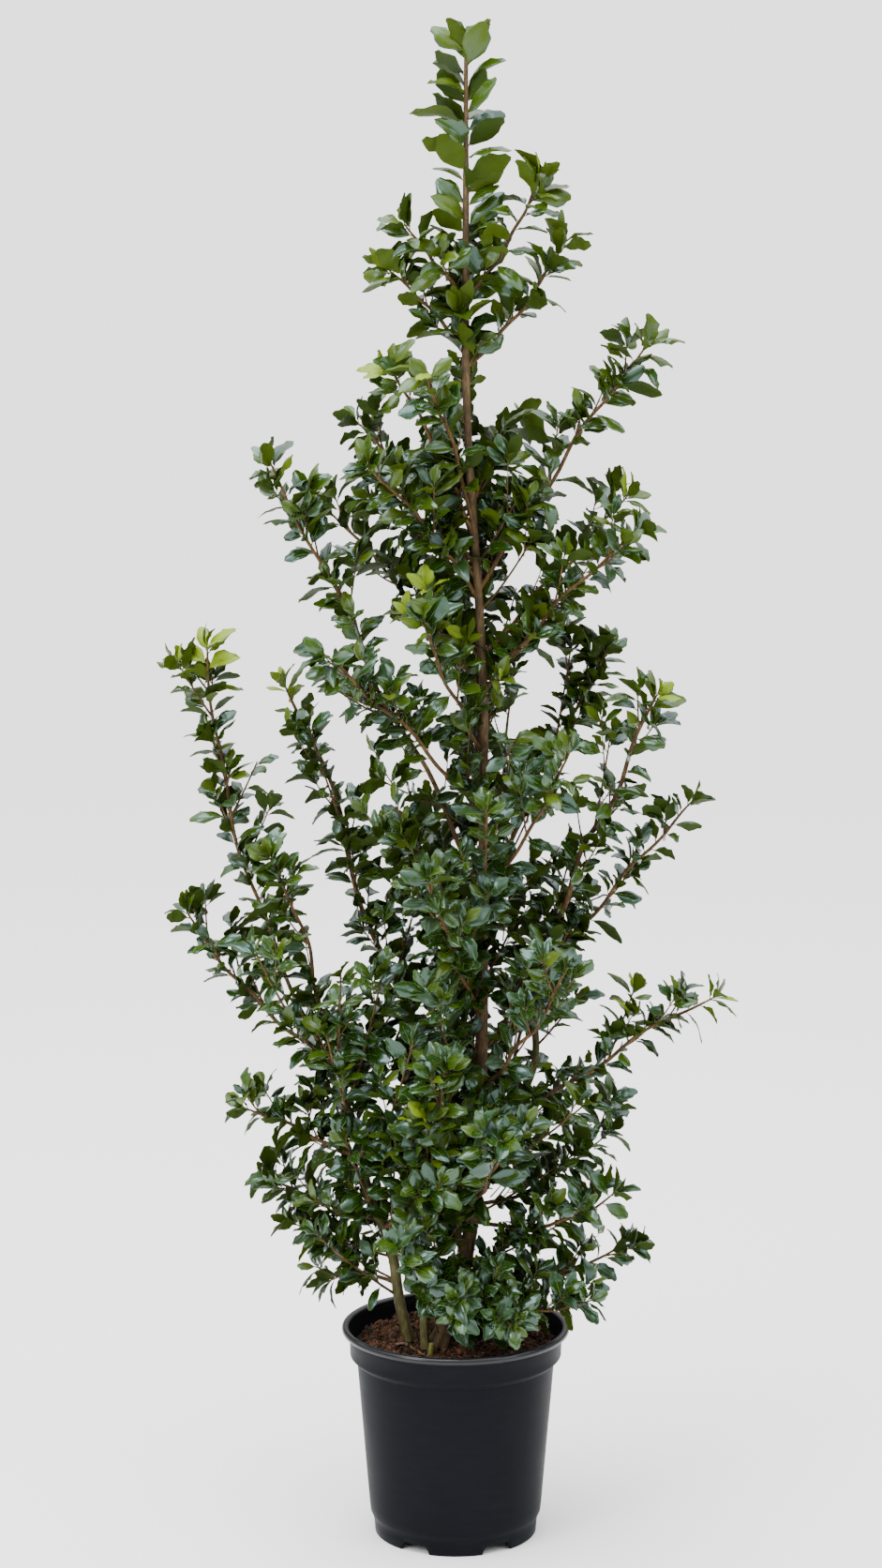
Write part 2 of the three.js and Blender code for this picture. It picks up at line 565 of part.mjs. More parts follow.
// Twigs and leaves of one shoot. A piece that would touch anything else, or a leaf that would touch another
// leaf of the same shoot or leave the shoot's space, is left off.
function grow(name, row, draw) {
  const { limb, from, solid } = leading[name];
  const others = Object.values(built);
  for (const [other, stem] of Object.entries(leading)) if (other !== name) others.push(stem);
  const wood = [solid];
  const start = name === "leader" ? from : Math.max(from, FIRST_LEAF / limb.length);
  const places = leavesAlong(limb, start, LAST_LEAF, limb.length, draw);
  places.push(...tuft(limb, TUFT_LEAVES, draw));
  for (const { foot, tip } of twigsOf(limb, row, start, draw)) {
    const stretch = straightLimb(foot, tip);
    const leaves = leavesAlong(stretch, TWIG_BARE, LAST_LEAF, foot.distanceTo(tip), draw);
    leaves.push(...tuft(stretch, TUFT_LEAVES - 1, draw));
    const twig = twigSolid(foot, tip);
    if (touches(boxed(twig), others)) continue;
    wood.push(twig);
    places.push(...leaves);
  }
  const along = [0, 0.2, 0.4, 0.6, 0.8, 1].map((share) => limb.at(from + share * (1 - from)));
  const leaves = [];
  const blades = [];
  const ownWood = wood.map(boxed);
  for (const place of places) {
    const tip = place.root.clone().addScaledVector(place.direction, LEAF_LENGTH * place.size);
    if (Math.min(...along.map((spot) => spot.distanceTo(tip))) > SPACE) continue;
    const leaf = boxed(leafSolid(place.root, place.direction, place.face, place.size));
    const ahead = place.root.clone().addScaledVector(place.direction, BLADE_START);
    const bladeSize = place.size - BLADE_START / LEAF_LENGTH;
    const blade = boxed(leafSolid(ahead, place.direction, place.face, bladeSize));
    if (touches(leaf, others) || touches(blade, blades) || touches(blade, ownWood)) continue;
    leaves.push(leaf.solid);
    blades.push(blade);
  }
  return largest(wasm.Manifold.union([...wood, ...leaves]).simplify(0.02));
}

Object.entries(SHOOTS).forEach(([name, row], index) => {
  const foliage = grow(name, row, seededDraws(index + 1));
  delete leading[name];
  build("foliage_" + name, foliage, LEAF_GREEN);
});

export default tree;
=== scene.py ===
# %% [markdown]
# # A holly tree in a nursery pot
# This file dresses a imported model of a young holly. The model is the frame: it has the pot, the soil, the
# trunk and stems, and one solid for each leafy shoot with a few large leaves. Here the same shoots grow
# again by the same rule, with fine twigs and thousands of leaves, round the same centre lines.
# Sizes are named in millimetres, as for the solids, and MM turns them to Blender's metres. +Z is up, and
# the origin is the middle of the pot's underside.

# %% Load the frame
import math
from collections import namedtuple

import bpy
import numpy as np
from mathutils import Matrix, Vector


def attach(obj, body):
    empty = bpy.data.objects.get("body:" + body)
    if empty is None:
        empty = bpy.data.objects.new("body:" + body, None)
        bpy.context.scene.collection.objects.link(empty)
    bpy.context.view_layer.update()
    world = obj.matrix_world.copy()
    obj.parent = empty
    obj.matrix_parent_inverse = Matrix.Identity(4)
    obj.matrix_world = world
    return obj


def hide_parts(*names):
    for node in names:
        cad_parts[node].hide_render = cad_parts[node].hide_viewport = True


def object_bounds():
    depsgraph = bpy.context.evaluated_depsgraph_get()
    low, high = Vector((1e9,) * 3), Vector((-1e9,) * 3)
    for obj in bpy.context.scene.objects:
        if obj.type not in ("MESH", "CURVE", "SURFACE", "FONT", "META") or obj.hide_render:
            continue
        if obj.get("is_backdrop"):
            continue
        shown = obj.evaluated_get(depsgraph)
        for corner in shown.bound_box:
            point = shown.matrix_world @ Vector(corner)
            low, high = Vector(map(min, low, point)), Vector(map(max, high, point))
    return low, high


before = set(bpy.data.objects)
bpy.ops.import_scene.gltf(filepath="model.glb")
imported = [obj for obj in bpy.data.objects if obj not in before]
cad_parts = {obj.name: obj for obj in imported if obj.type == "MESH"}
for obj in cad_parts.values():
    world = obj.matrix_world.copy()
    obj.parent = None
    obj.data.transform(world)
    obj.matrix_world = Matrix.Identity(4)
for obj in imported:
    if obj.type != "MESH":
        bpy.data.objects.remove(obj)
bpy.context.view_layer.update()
MM = 0.001  # metres in a millimetre

# %% [markdown]
# ## Camera
# A tall narrow plant could be taken from close by with a wide lens, but then its pot would flare and its
# top shrink. So the camera stands far off with a long lens. It is at eye height and looks slightly down,
# which shows the soil inside the rim.

# %% Camera
CAMERA_PLACE = (-0.018, -4.2, 1.6)
CAMERA_DIP = math.radians(9.024)  # how far it looks down
CAMERA_LENS = 81.45  # millimetres
SENSOR_LENGTH = 36  # millimetres, along the picture's long side

camera = bpy.data.objects.new("camera", bpy.data.cameras.new("camera"))
camera.data.lens = CAMERA_LENS
camera.data.sensor_width = SENSOR_LENGTH
camera.location = CAMERA_PLACE
camera.rotation_euler = (math.pi / 2 - CAMERA_DIP, 0, 0)
bpy.context.scene.collection.objects.link(camera)
bpy.context.scene.camera = camera
print("camera", CAMERA_PLACE, "lens", CAMERA_LENS)

# %% [markdown]
# ## Meshes from whole arrays
# Almost every piece of a tree is a closed skin round a line: a stem, a twig, a leaf stalk, a chip of bark,
# and even a leaf, whose rings run over its upper side and back under it. A pot is such a skin round its
# own axis. Bevelled curves could make the stems and copies of one leaf the foliage, but then no two kinds
# of piece would share a rule and all leaves would bend alike. So one builder does for all of them: it takes
# rings of points and a pole at either end, for any number of copies, and numpy works out all the faces.

# %% Faces of a closed skin
def skin_faces(rings, sides):
    """Corner numbers of one skin: quads (rings-1, sides, 4) and the end triangles (2, sides, 3).
    Ring i holds the points i*sides to i*sides+sides-1; the two poles come last."""
    ring = np.arange(rings)[:, None] * sides
    here = ring + np.arange(sides)[None, :]
    beside = ring + np.roll(np.arange(sides), -1)[None, :]
    quads = np.stack([here[:-1], beside[:-1], beside[1:], here[1:]], axis=-1)
    start, end = rings * sides, rings * sides + 1
    first = np.stack([np.full(sides, start), beside[0], here[0]], axis=-1)
    last = np.stack([np.full(sides, end), here[-1], beside[-1]], axis=-1)
    return quads, np.stack([first, last])


print("seven rings of eight points have", sum(part[..., 0].size for part in skin_faces(7, 8)), "faces")

# %% Mesh of many skins
def mark_sharp(mesh, sharp_points):
    """An edge stays sharp where both its ends are sharp points."""
    ends = np.empty(len(mesh.edges) * 2, np.int32)
    mesh.edges.foreach_get("vertices", ends)
    sharp = sharp_points[ends.reshape(-1, 2)].all(axis=1)
    mesh.attributes.new("sharp_edge", "BOOLEAN", "EDGE").data.foreach_set("value", sharp)


def skin_mesh(name, grids, starts, ends, materials, slots=None, sharp=None, smooth=True):
    """Joins copies of a skin in one mesh. grids is (copies, rings, sides, 3), starts and ends (copies, 3).
    slots gives the material number of each side's faces; sharp marks the sides whose lengthwise edges
    stay sharp, where a leaf's upper skin meets its lower one."""
    copies, rings, sides = grids.shape[:3]
    points = np.concatenate([grids.reshape(copies, -1, 3), starts[:, None], ends[:, None]], axis=1)
    step = (np.arange(copies) * points.shape[1])[:, None]
    quads, caps = ((part.reshape(1, -1) + step).reshape(-1) for part in skin_faces(rings, sides))
    quad_count, cap_count = quads.size // 4, caps.size // 3
    mesh = bpy.data.meshes.new(name)
    mesh.vertices.add(copies * points.shape[1])
    mesh.vertices.foreach_set("co", points.astype(np.float32).reshape(-1))
    mesh.loops.add(quads.size + caps.size)
    mesh.loops.foreach_set("vertex_index", np.concatenate([quads, caps]).astype(np.int32))
    mesh.polygons.add(quad_count + cap_count)
    begin = np.concatenate([np.arange(quad_count) * 4, quads.size + np.arange(cap_count) * 3])
    mesh.polygons.foreach_set("loop_start", begin.astype(np.int32))
    for material in materials:
        mesh.materials.append(material)
    if slots is not None:
        of_faces = [np.broadcast_to(slots, (copies, rows, sides)).reshape(-1) for rows in (rings - 1, 2)]
        mesh.polygons.foreach_set("material_index", np.concatenate(of_faces).astype(np.int32))
    mesh.polygons.foreach_set("use_smooth", np.full(quad_count + cap_count, smooth))
    mesh.update(calc_edges=True)
    if sharp is not None:
        mark_sharp(mesh, np.tile(np.concatenate([np.tile(sharp, rings), [True, True]]), copies))
    piece = bpy.data.objects.new(name, mesh)
    bpy.context.scene.collection.objects.link(piece)
    return piece


def dress(piece, slot, *nodes):
    """Ties a finished piece to the tree's one body and hides the solids that it stands for. slot is not
    used.
    """
    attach(piece, "root")
    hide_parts(*nodes)
    mesh = piece.data
    print(piece.name, len(mesh.loops) - 2 * len(mesh.polygons), "triangles")

# %% [markdown]
# ## Unevenness
# Bark and soil are never quite even. Blender's own noise textures could push a surface in and out, but only
# after it is a mesh. A value noise works on points before that: the corners of a lattice get random
# values, and a point takes the blend of the eight corners round it.

# %% Smooth random relief
LATTICE_WAVES = np.array([12.9898, 78.233, 37.719])  # uneven numbers, so that no two corners match
LATTICE_GAIN = 43758.5453
SEED_STEP = 37.0  # lattice cells between the parts of space that two seeds read


def noise(points, cell, seed=0):
    """Smooth numbers from -1 to 1. Each lattice corner's value is the fraction of a large sine of its whole
    numbers; between corners the blend weight is 3t^2 - 2t^3 along each axis."""
    scaled = np.asarray(points, float) / cell + SEED_STEP * seed
    corner = np.floor(scaled)
    share = scaled - corner
    share = share * share * (3 - 2 * share)
    total = np.zeros(points.shape[:-1])
    for x, y, z in np.ndindex(2, 2, 2):
        value = np.sin((corner + (x, y, z)) @ LATTICE_WAVES) * LATTICE_GAIN
        value = value - np.floor(value)
        weight = np.abs(1 - x - share[..., 0]) * np.abs(1 - y - share[..., 1])
        total += value * weight * np.abs(1 - z - share[..., 2])
    return 2 * total - 1


sample = noise(np.indices((20, 20, 20)).reshape(3, -1).T, 3.0)
print("noise from", round(float(sample.min()), 2), "to", round(float(sample.max()), 2))

# %% [markdown]
# ## Shader arithmetic
# A pattern could be wired up node by node, but it is easier to read as a formula. A small class wraps a
# node's output, so that + and * on it add Math nodes, and one method adds any other node with its settings
# and with what feeds it.

# %% Formulas in materials
class Signal:
    """One output of a node, which varies over a surface."""

    def __init__(self, nodes, socket):
        self.nodes, self.socket = nodes, socket

    def __add__(self, other):
        return self.nodes.add("ShaderNodeMath", {"operation": "ADD"}, self, other)

    def __mul__(self, other):
        return self.nodes.add("ShaderNodeMath", {"operation": "MULTIPLY"}, self, other)

    __radd__ = __add__
    __rmul__ = __mul__


def place_stops(elements, stops):
    """Gives a colour ramp its stops, each a place from 0 to 1 and a colour."""
    while len(elements) < len(stops):
        elements.new(0.5)
    for element, (place, colour) in zip(elements, stops):
        element.position = place
        element.color = (*colour, 1)


class Nodes:
    """The nodes of a material or of a world."""

    def __init__(self, owner):
        owner.use_nodes = True
        self.tree = owner.node_tree

    def feed(self, node, *values, **entries):
        """Gives a node's sockets a value or a Signal: in order, or by name with _ for a space."""
        pairs = [*zip(node.inputs, values)]
        pairs += [(node.inputs[name.replace("_", " ")], value) for name, value in entries.items()]
        for socket, value in pairs:
            if isinstance(value, Signal):
                self.tree.links.new(value.socket, socket)
            else:
                socket.default_value = value

    def add(self, kind, settings=None, *values, output=0, **entries):
        """One node: its settings come first, a ramp's stops among them, and then what feeds it."""
        node = self.tree.nodes.new(kind)
        for setting, value in (settings or {}).items():
            if setting == "stops":
                place_stops(node.color_ramp.elements, value)
            else:
                setattr(node, setting, value)
        self.feed(node, *values, **entries)
        return Signal(self, node.outputs[output])


# %% Finishes
class Finish(Nodes):
    """A material with one Principled shader, which set() feeds."""

    def __init__(self, name, colour, roughness, **fixed):
        self.material = bpy.data.materials.new(name)
        self.material.diffuse_color = (*colour, 1)
        super().__init__(self.material)
        self.set(Base_Color=(*colour, 1), Roughness=roughness, **fixed)

    def set(self, **entries):
        self.feed(self.tree.nodes["Principled BSDF"], **entries)

    def place(self, factors=(1, 1, 1)):
        """Object coordinates in metres, times factors: a small one draws a pattern out along its axis."""
        where = self.add("ShaderNodeTexCoord", output="Object")
        return self.add("ShaderNodeMapping", Vector=where, Scale=factors)

    def mottle(self, scale, detail, factors=(1, 1, 1)):
        """Noise from 0 to 1, with so many cells in a metre, and finer ones in them by detail."""
        return self.add("ShaderNodeTexNoise", Vector=self.place(factors), Scale=scale, Detail=detail)

    def ramp(self, amount, places, colours):
        """Colours by an amount, each with its place from 0 to 1."""
        return self.add("ShaderNodeValToRGB", {"stops": list(zip(places, colours))}, amount)

    def bump(self, height, depth, strength):
        """Tilts the light by an uneven height from 0 to 1, which stands for depth in metres."""
        self.set(Normal=self.add("ShaderNodeBump", Height=height, Distance=depth, Strength=strength))

# %% [markdown]
# ## Bark
# Young holly bark is smooth, a little streaked along the stem, with small pores. The trunk is brown, the
# two stems beside it olive, the shoots reddish brown and the finest twigs tan. A picture of bark could be
# wrapped round each stem, but it would show its seam. So the colour runs through a ramp over noise that is
# drawn out upwards, and the streaks follow the stems.

# %% Bark finishes
def bark_finish(name, dark, middle, pale, pores=0.5):
    """Fine streaks and broad patches pick the tone; the streaks and the pores make the bumps."""
    finish = Finish(name, middle, 0.72, Specular_IOR_Level=0.35)
    streaks = finish.mottle(scale=420, detail=4, factors=(1, 1, 0.22))
    patches = finish.mottle(scale=38, detail=3, factors=(1, 1, 0.5))
    specks = finish.mottle(scale=700, detail=1, factors=(1, 1, 1.6))
    tone = streaks * 0.55 + patches * 0.45
    finish.set(Base_Color=finish.ramp(tone, (0.32, 0.5, 0.68), (dark, middle, pale)))
    finish.set(Roughness=0.62 + streaks * 0.25)
    finish.bump(streaks + specks * pores, depth=0.0006, strength=0.5)
    return finish.material


TRUNK_BARK = bark_finish("trunk_bark", (0.028, 0.017, 0.007), (0.082, 0.049, 0.020), (0.175, 0.112, 0.050))
STEM_BARK = bark_finish("stem_bark", (0.026, 0.023, 0.006), (0.076, 0.068, 0.020), (0.160, 0.142, 0.052))
SHOOT_BARK = bark_finish("shoot_bark", (0.022, 0.011, 0.003), (0.075, 0.038, 0.010), (0.170, 0.095, 0.030))
TWIG_BARK = bark_finish(
    "twig_bark", (0.036, 0.021, 0.004), (0.090, 0.056, 0.011), (0.160, 0.112, 0.024), pores=0.2
)
print("barks", [bark.name for bark in (TRUNK_BARK, STEM_BARK, SHOOT_BARK, TWIG_BARK)])

# %% [markdown]
# ## Leaf greens
# A leaf has a waxy, dark upper side and a pale, dull underside. One green with a pattern over the crown
# could vary it, but the greens belong to places: the newest leaves at the tips are lime, the ones below
# them fresh green, and the old ones deep green, some of them with a painted bluish sheen mixed into the
# colour. So each green is a plain colour of its own, and every leaf is dealt to one of them.

# %% Leaf finishes
WAX_TINT = (0.55, 0.85, 1.0, 1.0)  # the shine on a leaf is cooler than the light


def leaf_finish(name, colour, roughness=0.22, coat=0.28, specular=0.60):
    finish = Finish(name, colour, roughness, Coat_Weight=coat, Specular_IOR_Level=specular)
    finish.set(Coat_Roughness=0.1, Specular_Tint=WAX_TINT)
    return finish.material


UPPER = {
    "deep": leaf_finish("leaf_deep", (0.0120, 0.0370, 0.0007)),
    # deep green with a painted bluish sheen mixed into its colour
    "deep_painted_sheen": leaf_finish("leaf_deep_painted_sheen", (0.0130, 0.0340, 0.0036), 0.34),
    "mid": leaf_finish("leaf_mid", (0.0310, 0.0640, 0.0008)),
    "fresh": leaf_finish("leaf_fresh", (0.0560, 0.0880, 0.0012), 0.3, 0.15, 0.40),
    "lime": leaf_finish("leaf_lime", (0.1750, 0.2500, 0.0060), 0.42, 0.08, 0.22),
}
UNDERSIDE = leaf_finish("leaf_underside", (0.0280, 0.0480, 0.0016), 0.6, 0.0, 0.15)
BELOW = {  # the two young greens have undersides of their own
    "fresh": leaf_finish("leaf_fresh_underside", (0.0520, 0.0820, 0.0022), 0.6, 0.0, 0.15),
    "lime": leaf_finish("leaf_young_underside", (0.0950, 0.1400, 0.0040), 0.6, 0.0, 0.15),
}
MARGIN = leaf_finish("leaf_margin", (0.0380, 0.0620, 0.0050), 0.45, 0.0)
STALK = leaf_finish("leaf_stalk", (0.1150, 0.1450, 0.0200), 0.5, 0.0)
print("greens", list(UPPER))

# %% [markdown]
# ## The tree's plan
# The trunk and the two stems beside it come out of the soil, and a third stem leaves the trunk. Every shoot
# is a row: what it grows on, from what height, which way, how far and how high, and how much it bulges. A
# plant could also be grown by rules of chance alone, but then its outline would be any holly's. The rows
# are the frame's own, so that the dressed shoots lie where the solids lie.

# %% Plan of the limbs
SOIL_TOP = 244
TREE_TOP = 1798
TRUNK_FOOT = (-21, -30)  # x and y
TRUNK_LEAN, LEAN_HEIGHT = 54, 110  # how far to the right it leans, and over what height it straightens
TRUNK_RETURN, RETURN_FROM, RETURN_TO = 22, 1000, 1450  # how far it turns back, and between what heights
TRUNK_RADIUS, TIP_RADIUS = 9.5, 1.8
FLARE, FLARE_HEIGHT = 4.5, 24  # how much wider its foot is, and over what height that fades
LEADER_FROM = 1600  # above this the trunk is the leading shoot
SWAY = 0.012  # of a limb's length
GOLDEN_TURN = math.radians(137.5)  # from each leaf or twig to the next, round its stem
SHOOT_TIP = 2.2  # radius
LEADER_STOUTER = 1.22  # the leader's radius as a share of the solid's
TRUNK_THINNER = (  # shares of the trunk's height, and what share of the solid's radius it has there
    (0.2, 0.4, 0.64, 0.87),
    (1.0, 0.86, 0.94, LEADER_STOUTER),
)
SHOOT_THINNER = 0.8  # of the solid's radius, for every shoot but the stoutest
STOUT_SHOOTS = ("left_07", "right_07")
TIP_THINNING, TIP_FADE = 0.45, 22.0  # how much thinner a shoot's very tip is, and over what length

Stem = namedtuple("Stem", "on start bearing reach top sag base end")
Shoot = namedtuple("Shoot", "on start bearing reach top sag bare base twigs twig_length")

# name: grows on, or None for the soil; height or foot, bearing, reach, top, sag, radius at foot and tip
STEM_ROWS = {
    "left_stem": (None, (-57, -12), -173, 103, 614, -0.02, 7, 4.4),
    "front_stem": (None, (-37, -46), -82, 66, 500, -0.1, 5.6, 3),
    "right_stem": ("trunk", 420, 34, 91, 708, 0.11, 5.2, 4),
}
# name: grows on, height, bearing, reach, top, sag, bare share, radius at foot, coarse twigs, their length
SHOOT_ROWS = {
    "leader": ("trunk", LEADER_FROM, 0, 0, TREE_TOP, 0, 0, 3.4, 2, 34),
    "left_01": ("left_stem", 315, 155, 92, 308, -0.12, 0, 3.3, 1, 50),
    "left_02": ("left_stem", 400, 162, 142, 440, 0.04, 0, 3.3, 2, 62),
    "left_03": ("left_stem", 470, -176, 143, 541, -0.03, 0, 3.3, 2, 55),
    "left_04": ("left_stem", 604, 172, 170, 777, 0.06, 0.3, 3.3, 1, 52),
    "left_05": ("left_stem", 612, 159, 150, 1095, 0.065, 0.2, 3.3, 1, 48),
    "left_06": ("left_stem", 576, -137, 97, 859, -0.05, 0, 3.3, 2, 60),
    "left_07": ("trunk", 340, 149, 256, 1035, -0.035, 0.3, 4.6, 3, 80),
    "left_08": ("trunk", 803, -169, 254, 1319, 0, 0.25, 4, 3, 78),
    "left_09": ("trunk", 894, -145, 228, 1106, -0.02, 0, 3.3, 2, 74),
    "left_10": ("trunk", 1047, 152, 210, 1252, -0.02, 0, 3.3, 2, 74),
    "left_11": ("trunk", 1154, -142, 163, 1320, -0.03, 0, 3.3, 2, 66),
    "left_12": ("trunk", 1193, 157, 155, 1362, -0.015, 0, 3.3, 2, 62),
    "left_13": ("trunk", 1227, -155, 108, 1428, -0.03, 0, 3.3, 1, 52),
    "left_14": ("trunk", 1244, -117, 123, 1427, -0.03, 0, 3.3, 1, 52),
    "left_15": ("trunk", 1448, 168, 92, 1542, -0.03, 0, 3.3, 1, 36),
    "left_16": ("trunk", 1508, -157, 77, 1595, 0, 0, 3.3, 0, 36),
    "right_01": ("trunk", 293, -17, 170, 312, 0.07, 0, 3.3, 2, 66),
    "right_02": ("trunk", 345, 12, 200, 356, 0.16, 0, 3.3, 2, 64),
    "right_03": ("trunk", 396, -17, 179, 444, 0.13, 0, 3.3, 2, 64),
    "right_04": ("trunk", 414, 24, 189, 516, 0.14, 0, 3.3, 2, 70),
    "right_05": ("trunk", 466, -5, 286, 678, -0.045, 0.3, 3.8, 1, 55),
    "right_06": ("right_stem", 689, -2, 187, 905, 0, 0, 3.3, 1, 50),
    "right_07": ("right_stem", 704, -35, 168, 1046, 0, 0.2, 3.8, 2, 66),
    "right_08": ("trunk", 791, 18, 158, 1090, 0, 0.25, 4, 3, 74),
    "right_09": ("trunk", 1042, -21, 192, 1242, -0.035, 0, 3.3, 2, 66),
    "right_10": ("trunk", 1087, 22, 188, 1271, 0, 0, 3.3, 2, 66),
    "right_11": ("trunk", 1165, -6, 198, 1456, -0.015, 0.2, 3.8, 2, 56),
    "right_12": ("trunk", 1244, 60, 110, 1375, -0.16, 0, 3.3, 1, 56),
    "right_13": ("trunk", 1429, 12, 117, 1573, 0.05, 0, 3.3, 0, 36),
    "right_14": ("trunk", 1508, -10, 83, 1643, 0.05, 0, 3.3, 0, 34),
    "front_01": ("front_stem", 498, -60, 30, 620, 0, 0, 3.3, 2, 60),
    "front_02": ("trunk", 282, -52, 118, 296, -0.1, 0, 3.3, 2, 56),
    "front_03": ("trunk", 420, -80, 180, 540, 0.05, 0, 3.3, 3, 80),
    "front_04": ("trunk", 560, -58, 185, 740, 0.05, 0, 3.3, 3, 80),
    "front_05": ("trunk", 650, -112, 175, 850, 0.04, 0, 3.3, 3, 80),
    "front_06": ("trunk", 800, -50, 155, 990, 0.04, 0, 3.3, 2, 76),
    "front_07": ("trunk", 970, -125, 125, 1140, 0.03, 0, 3.3, 2, 66),
    "front_08": ("left_stem", 390, -62, 120, 470, 0.06, 0, 3.3, 3, 70),
    "front_09": ("front_stem", 330, -110, 110, 400, 0.06, 0, 3.3, 3, 66),
    "back_01": ("trunk", 380, 108, 195, 490, 0.06, 0, 3.3, 3, 80),
    "back_02": ("trunk", 520, 62, 205, 700, 0.06, 0, 3.3, 3, 82),
    "back_03": ("trunk", 650, 112, 195, 860, 0.05, 0, 3.3, 3, 82),
    "back_04": ("trunk", 800, 78, 170, 1010, 0.04, 0, 3.3, 3, 78),
    "back_05": ("trunk", 960, 105, 135, 1150, 0.04, 0, 3.3, 2, 66),
    "back_06": ("trunk", 1110, 84, 100, 1270, 0.03, 0, 3.3, 1, 56),
}
STEMS = {name: Stem(*row) for name, row in STEM_ROWS.items()}
SHOOTS = {name: Shoot(*row) for name, row in SHOOT_ROWS.items()}

PLAIN, FRESH, LIME = 0, 1, 2  # how young the leaves at a shoot's tip are
# a side shoot far longer than a twig: share along the shoot, bearing, reach, rise, how young its tip is
FORKS = {"left_07": (0.74, -137, 56, 127, PLAIN), "right_05": (0.58, 42, 43, 75, FRESH)}
LIME_TIPS = ("left_05", "left_07")
FRESH_TIPS = (
    "leader", "left_13", "left_14", "left_15", "right_05", "right_07", "right_10", "right_11", "right_12",
    "right_13", "right_14",
)
TONES = dict.fromkeys(SHOOTS, PLAIN) | dict.fromkeys(LIME_TIPS, LIME) | dict.fromkeys(FRESH_TIPS, FRESH)
print("stems", len(STEMS), "shoots", len(SHOOTS))

# %% [markdown]
# ## Centre lines
# A limb is a curve from foot to tip. A drawn curve object could hold it, but its tips would have to be
# placed by eye. Here a formula gives the point at any share of the way: the trunk leans as it leaves the
# soil and straightens, and every other limb is a parabola whose middle stands off the straight line by
# its sag, with a slight seeded sway.

# %% A limb and its measures
UP, BACK = np.array([0.0, 0.0, 1.0]), np.array([0.0, 1.0, 0.0])
CURVE_STEP = 1e-3  # the share of a limb over which its direction is measured


def seeded_draws(seed, count):
    """Numbers from 0 to 1 by the rule next = previous * 48271 modulo 2147483647."""
    state, draws = seed * 7919 + 12345, []
    for _ in range(count):
        state = (state * 48271) % 2147483647
        draws.append(state / 2147483647)
    return draws


def level(bearing):
    """The flat direction of a bearing in degrees, from +X towards +Y."""
    return np.array([math.cos(math.radians(bearing)), math.sin(math.radians(bearing)), 0.0])


class Limb:
    """A centre line at(shares) in millimetres, radii radius(shares), and a direction square to its plane."""

    def __init__(self, at, radius, side, length):
        self.at, self.radius, self.side, self.length = at, radius, side, length

    def direction(self, shares):
        middle = np.clip(shares, CURVE_STEP, 1 - CURVE_STEP)
        step = self.at(middle + CURVE_STEP) - self.at(middle - CURVE_STEP)
        return step / np.linalg.norm(step, axis=-1, keepdims=True)

    def share_at(self, height):
        """The share at which the limb passes a height, read off a fine sampling."""
        shares = np.linspace(0, 1, 4001)
        return float(np.interp(height, self.at(shares)[:, 2], shares))

    def at_height(self, height):
        return self.at(self.share_at(height))


print("the first draws of seed 1", [round(draw, 3) for draw in seeded_draws(1, 3)])

# %% Centre lines of the limbs
def trunk_limb():
    """x is the foot plus the lean times 1 - e^(-z/lean height), less the return as a smooth step; y fades
    to nothing in the same way; the radius falls as (1-share)^0.8, with a flare that fades at the foot."""
    height = TREE_TOP - SOIL_TOP

    def at(shares):
        z = SOIL_TOP + np.asarray(shares, float) * height
        fade = np.exp(-(z - SOIL_TOP) / LEAN_HEIGHT)
        step = np.clip((z - RETURN_FROM) / (RETURN_TO - RETURN_FROM), 0, 1)
        back = TRUNK_RETURN * step * step * (3 - 2 * step)
        return np.stack([TRUNK_FOOT[0] + TRUNK_LEAN * (1 - fade) - back, TRUNK_FOOT[1] * fade, z], axis=-1)

    def radius(shares):
        body = TIP_RADIUS + (TRUNK_RADIUS - TIP_RADIUS) * np.clip(1 - shares, 0, 1) ** 0.8
        return body + FLARE * np.exp(-shares * height / FLARE_HEIGHT)

    return Limb(at, radius, BACK, height)


def trunk_at(heights):
    """Points of the trunk's centre line at any heights."""
    return limbs["trunk"].at((heights - SOIL_TOP) / limbs["trunk"].length)


def curved_limb(foot, row, end, seed, thinning=0.0):
    """The point at a share t is foot + chord*t, plus sag*length*4t(1-t) square to the chord, plus a sway of
    two sines under the same hump. The radius falls evenly from the row's base to end, and towards the tip
    it is less by the share thinning*e^(-way to the tip/fade)."""
    out = level(row.bearing)
    chord = np.array([row.reach * out[0], row.reach * out[1], row.top - foot[2]])
    length = float(np.linalg.norm(chord))
    side = np.array([-out[1], out[0], 0.0])
    below = np.cross(side, chord)
    below /= np.linalg.norm(below)
    turns = seeded_draws(seed + 500, 2)

    def at(shares):
        t = np.asarray(shares, float)[..., None]
        hump = 4 * t * (1 - t)
        sideways = SWAY * length * hump * np.sin(2 * np.pi * (1.7 * t + turns[0]))
        downwards = SWAY * length * hump * np.sin(2 * np.pi * (2.3 * t + turns[1]))
        return foot + chord * t + below * (row.sag * length * hump + downwards) + side * sideways

    def radius(shares):
        t = np.asarray(shares, float)
        return (row.base + (end - row.base) * t) * (1 - thinning * np.exp(-(1 - t) * length / TIP_FADE))

    return Limb(at, radius, side, length)


limbs = {"trunk": trunk_limb()}
for seed, (name, stem) in enumerate(STEMS.items(), 1):
    foot = limbs[stem.on].at_height(stem.start) if stem.on else np.array([*stem.start, SOIL_TOP], float)
    limbs[name] = curved_limb(foot, stem, stem.end, seed)
for seed, (name, shoot) in enumerate(SHOOTS.items(), len(STEMS) + 1):
    if name == "leader":
        limbs[name] = limbs["trunk"]
    else:
        foot = limbs[shoot.on].at_height(shoot.start)
        limbs[name] = curved_limb(foot, shoot, SHOOT_TIP, seed, TIP_THINNING)
longest = max(limbs[name].length for name in SHOOTS if name != "leader")
print("limbs", len(limbs), "longest shoot", round(longest), "mm")

